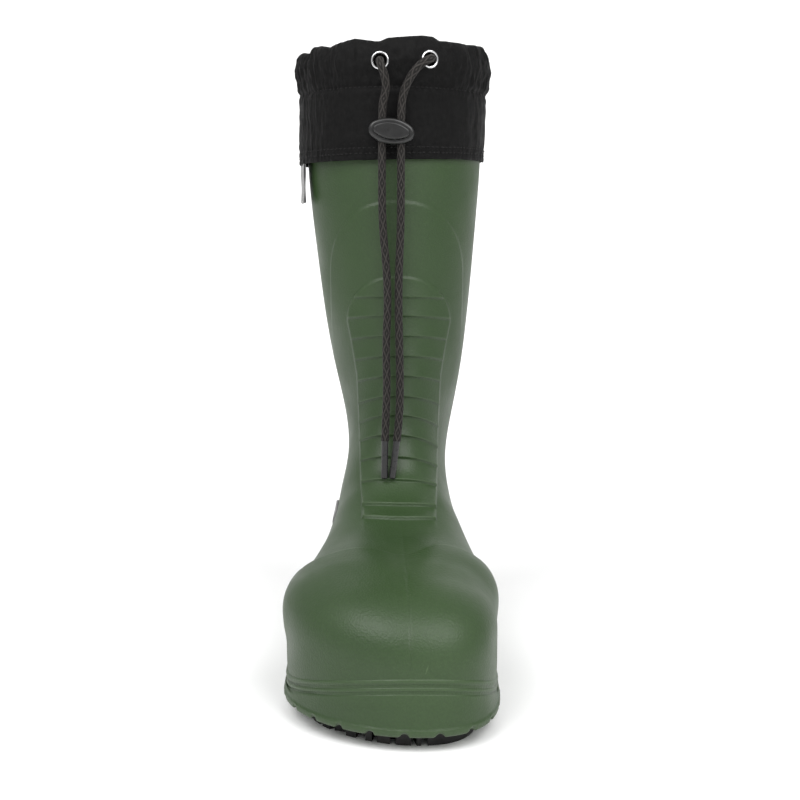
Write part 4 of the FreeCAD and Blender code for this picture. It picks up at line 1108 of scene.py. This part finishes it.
def make_collar(material, dark):
    """The gathered outer cloth, with its two eyelet holes, and the lining inside the channel."""
    points, profile = collar_surface()
    rows, columns = points.shape[:2]
    faces = grid_faces(rows, columns)
    centres = np.array([points.reshape(-1, 3)[face].mean(axis=0) for face in np.array(faces)])
    keep = np.ones(len(faces), bool)
    for point, outward in EYELET_POINTS.values():
        from_eyelet = centres - np.array(point)
        out = from_eyelet @ np.array(outward)
        across = np.linalg.norm(from_eyelet - out[:, None] * np.array(outward), axis=1)
        keep &= ~((across < EYELET_HOLE) & (out > -0.005))
    made = build("collar_cloth", points, [face for face, kept in zip(faces, keep) if kept], material,
                 "boot")
    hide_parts("collar_outer")
    set_cloth_map(made, columns, lengths_along(profile), COLLAR_GIRTH)
    thick = made.modifiers.new("cloth", "SOLIDIFY")
    thick.thickness = COLLAR_CLOTH
    thick.offset = -1

    turn = np.linspace(0, 2 * np.pi, LINING_COLUMNS, endpoint=False)
    rings = []
    for inset, levels in zip(LINING_INSETS, (LINING_LEVELS, LINING_LEVELS[::-1])):
        rings += [collar_ring(level + 0 * turn, inset + 0 * turn, turn) for level in levels]
    lining = closed_rings("collar_lining_cloth", rings, dark)
    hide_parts("collar_lining")
    return points, profile


def make_stitches(name, node, points, profile, levels, pitch, material):
    """Rows of short thread capsules lying on the collar's cloth."""
    normals = grid_normals(points)
    around = [(math.cos(a), math.sin(a)) for a in np.linspace(0, 2 * np.pi, 8, endpoint=False)]
    shares = (-1, -0.8, -0.4, 0, 0.4, 0.8, 1)
    capsule = capped_faces(len(shares), len(around))
    all_points, all_faces = [], []
    for level in levels:
        wall = np.where(profile[:, 0] > -0.0013, np.abs(profile[:, 1] - level), 1.0)
        row = int(np.argmin(wall))
        ring, out = points[row], normals[row]
        travel = lengths_along(np.concatenate([ring, ring[:1]]))
        count = int(travel[-1] / pitch)
        for index in range(count):
            at = np.searchsorted(travel, travel[-1] * index / count)
            middle, normal = ring[at % len(ring)], out[at % len(ring)]
            ahead = ring[(at + 1) % len(ring)] - ring[at - 1]
            ahead /= np.linalg.norm(ahead)
            across = np.cross(normal, ahead)
            start = len(all_points)
            for share in shares:
                thick = THREAD_RADIUS * math.sqrt(max(1 - share ** 2, 0.02))
                rise = THREAD_RISE * (1 - share ** 2)
                centre = middle + ahead * share * pitch * STITCH_SHARE + normal * rise
                all_points += [centre + thick * (c * across + s * normal) for c, s in around]
            all_faces += [[start + index for index in face] for face in capsule]
    made = build(name, all_points, all_faces, material, "boot")
    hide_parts(node)


def make_eyelets(metal):
    """The rolled rings in the collar's front."""
    for side, (point, outward) in EYELET_POINTS.items():
        made = lathe("eyelet_ring_" + side, EYELET_PROFILE, 64, facing_matrix(point, outward), metal,
                     "boot")
        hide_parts("eyelet_" + side)


# ---- label and badge

LABEL_HINGE = (-0.0606, 0.072, 0.3203)
LABEL_TURN_DEG = 8.0
LABEL_SIZE = 0.026
LABEL_GAP = 0.00045
LABEL_FOLD_Z = -0.0253
LABEL_CLOTH = 0.0004
BADGE_PLACE = (-0.037, 0.058, 0.084)
BADGE_HALF_WIDTH, BADGE_HALF_HEIGHT = 0.012, 0.008
# share of the oval's size, and height above the shell
BADGE_PROFILE = [(0.0, -0.0002), (1.0, -0.0002), (1.0, 0.0012), (0.985, 0.0016), (0.93, 0.0017),
                 (0.90, 0.0012), (0.86, 0.0009), (0.80, 0.0009), (0.78, 0.0012), (0.75, 0.0012),
                 (0.73, 0.0009), (0.4, 0.0010), (0.0, 0.0011)]


def make_label(cloth):
    """A cloth tab folded at its lower edge."""
    half = LABEL_SIZE / 2
    fold = [(LABEL_GAP, 0.0)]
    fold += [(LABEL_GAP + 0.0002 * math.sin(z * 300), -z) for z in np.linspace(0.001, 0.0252, 22)]
    fold += [(LABEL_GAP * math.cos(turn), LABEL_FOLD_Z - LABEL_GAP * math.sin(turn))
             for turn in np.linspace(0.3, np.pi - 0.3, 7)]
    fold += [(-out, level) for out, level in fold[:23][::-1]]
    matrix = Matrix.Translation(LABEL_HINGE) @ Matrix.Rotation(math.radians(LABEL_TURN_DEG), 4, "Z")
    across = np.linspace(-half, half, 24)
    points = np.array([[matrix @ Vector((out, y, level)) for y in across] for out, level in fold])
    faces = grid_faces(len(fold), len(across), wrap=False)
    made = build("label_cloth_tab", points, faces, cloth, "side_label")
    layer = made.data.uv_layers.new(name="cloth")
    for loop in made.data.loops:
        row, column = divmod(loop.vertex_index, len(across))
        layer.data[loop.index].uv = (column * 0.0011, row * 0.0011)
    thick = made.modifiers.new("cloth", "SOLIDIFY")
    thick.thickness = LABEL_CLOTH
    thick.offset = 0
    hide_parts("label_tab")


def make_badge(material, shell):
    """A moulded oval plate with a raised rim and a plain inner border, bent to the shell."""
    turn = np.linspace(0, 2 * np.pi, 96, endpoint=False)
    x, y, z = BADGE_PLACE
    grid = np.zeros((len(BADGE_PROFILE), len(turn), 3))
    for row, (share, height) in enumerate(BADGE_PROFILE):
        for column, angle in enumerate(turn):
            along = y - BADGE_HALF_WIDTH * max(share, 0.001) * math.cos(angle)
            level = z + BADGE_HALF_HEIGHT * max(share, 0.001) * math.sin(angle)
            found, place, _, _ = shell.ray_cast((2 * x, along, level), (1, 0, 0))
            surface = place.x if found else x
            grid[row, column] = (surface - height, along, level)
    made = build("ankle_oval_badge", grid, grid_faces(*grid.shape[:2]), material,
                 "boot")
    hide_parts("ankle_badge")


# ---- cord lock's spring

SPRING_CENTRE_X, SPRING_CENTRE_Z = -0.00095, 0.3376
SPRING_FRONT_Y, SPRING_BACK_Y = 0.00295, 0.0116
SPRING_RADIUS, SPRING_WIRE = 0.00165, 0.0005
SPRING_TURNS = 5


def make_spring(metal):
    """A coil for the cord lock's spring, built at one length."""
    along = np.linspace(0, 1, 40 * SPRING_TURNS)
    turn = 2 * np.pi * SPRING_TURNS * along
    length = SPRING_BACK_Y - SPRING_FRONT_Y - SPRING_WIRE
    line = np.column_stack([SPRING_CENTRE_X + SPRING_RADIUS * np.cos(turn),
                            SPRING_FRONT_Y + SPRING_WIRE / 2 + length * along,
                            SPRING_CENTRE_Z + SPRING_RADIUS * np.sin(turn)])
    side, up = carried_frames(line)
    around = np.linspace(0, 2 * np.pi, 10, endpoint=False)
    points = (line[:, None, :] + SPRING_WIRE / 2 * (np.cos(around)[:, None] * side[:, None, :]
                                                    + np.sin(around)[:, None] * up[:, None, :]))
    made = build("lock_coil", points, capped_faces(len(line), len(around)), metal,
                 "cord_lock")
    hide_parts("lock_spring")
    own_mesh(made)


# ---- kept CAD pieces and the floor


def repaint(nodes, material):
    """Give kept CAD pieces a finish of their own."""
    for name in nodes:
        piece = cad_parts[name]
        for index in range(len(piece.material_slots)):
            piece.material_slots[index].material = material
        for face in piece.data.polygons:
            face.use_smooth = True


def make_floor():
    """A pale floor that turns up into a backdrop behind the boot."""
    profile = [(-4.0, 0.0), (2.0, 0.0)]
    profile += [(2.0 + 1.2 * math.sin(a), 1.2 - 1.2 * math.cos(a)) for a in np.linspace(0.1, np.pi / 2, 14)]
    profile.append((3.2, 5.0))
    points = np.array([[(x, y, z) for x in (-5.0, 5.0)] for y, z in profile])
    mesh = bpy.data.meshes.new("studio_floor")
    mesh.from_pydata(points.reshape(-1, 3).tolist(), [], grid_faces(len(profile), 2, wrap=False))
    mesh.polygons.foreach_set("use_smooth", [True] * len(mesh.polygons))
    material, tree, shader = start_material("studio_paper", Specular_IOR_Level=0.15)
    place = object_place(tree)
    tone = ramp(tree, noise(tree, place, 14.0, 3.0), (0.3, 0.97), (0.7, 0.98))
    rough = ramp(tree, noise(tree, place, 60.0), (0.3, 0.75), (0.7, 0.9))
    attach(tree, shader, Base_Color=tone, Roughness=rough)
    mesh.materials.append(material)
    floor = bpy.data.objects.new("studio_floor", mesh)
    SCENE.collection.objects.link(floor)


# ---- the boot

# places of the sole edge's notches, as shares of the way round it: the toe's, then the heel's
NOTCHES = [0.02 + index / 40 for index in range(24)] + [0.66 + index / 40 for index in range(12)]

add_camera()
cord_material = braided_cord()
make_cords(cord_material)
add_lights()
make_floor()
green = moulded_foam()
upper = make_upper(green)
make_midsole(green, NOTCHES)
make_liner()
nylon = woven_nylon("collar_nylon_weave", (0.0015, 0.0015, 0.0016, 1), (0.0075, 0.0072, 0.0070, 1),
                    0.0007, 0.00025, 0.015)
lining = woven_nylon("lining_weave", (0.007, 0.007, 0.007, 1), (0.03, 0.03, 0.03, 1), 0.0007, 0.0002,
                     0.2)
collar_points, collar_profile = make_collar(nylon, lining)
thread = woven_nylon("sewing_thread", (0.012, 0.012, 0.012, 1), (0.06, 0.058, 0.055, 1), 0.0005,
                     0.0001, 0.2)
make_stitches("hem_stitch_rows", "collar_hem_stitching", collar_points, collar_profile,
              HEM_ROWS_Z, STITCH_PITCH, thread)
make_stitches("channel_stitch_row", "channel_stitching", collar_points, collar_profile, (SEAM_Z,),
              CHANNEL_PITCH, thread)
make_eyelets(polished_metal("eyelet_nickel", (0.78, 0.78, 0.79), 0.16))
make_label(woven_nylon("label_weave", (0.20, 0.20, 0.20, 1), (0.42, 0.42, 0.41, 1), 0.0006, 0.0002, 0.1))
bpy.context.view_layer.update()
make_badge(black_plastic("badge_rubber_moulded", 0.30, 0.5), upper)
repaint(["outsole_forefoot", "outsole_heel"], outsole_rubber())
repaint(["eyelet_washer_left", "eyelet_washer_right"],
        polished_metal("washer_steel", (0.5, 0.5, 0.51), 0.3))
make_spring(polished_metal("spring_wire", (0.55, 0.55, 0.56), 0.25))
repaint(["lock_body", "lock_button"], black_plastic("lock_black", 0.006, 0.32))
repaint(["cord_tip_left", "cord_tip_right"], black_plastic("tip_black", 0.010, 0.3))
repaint(["drawcord_in_hem"], cord_material)
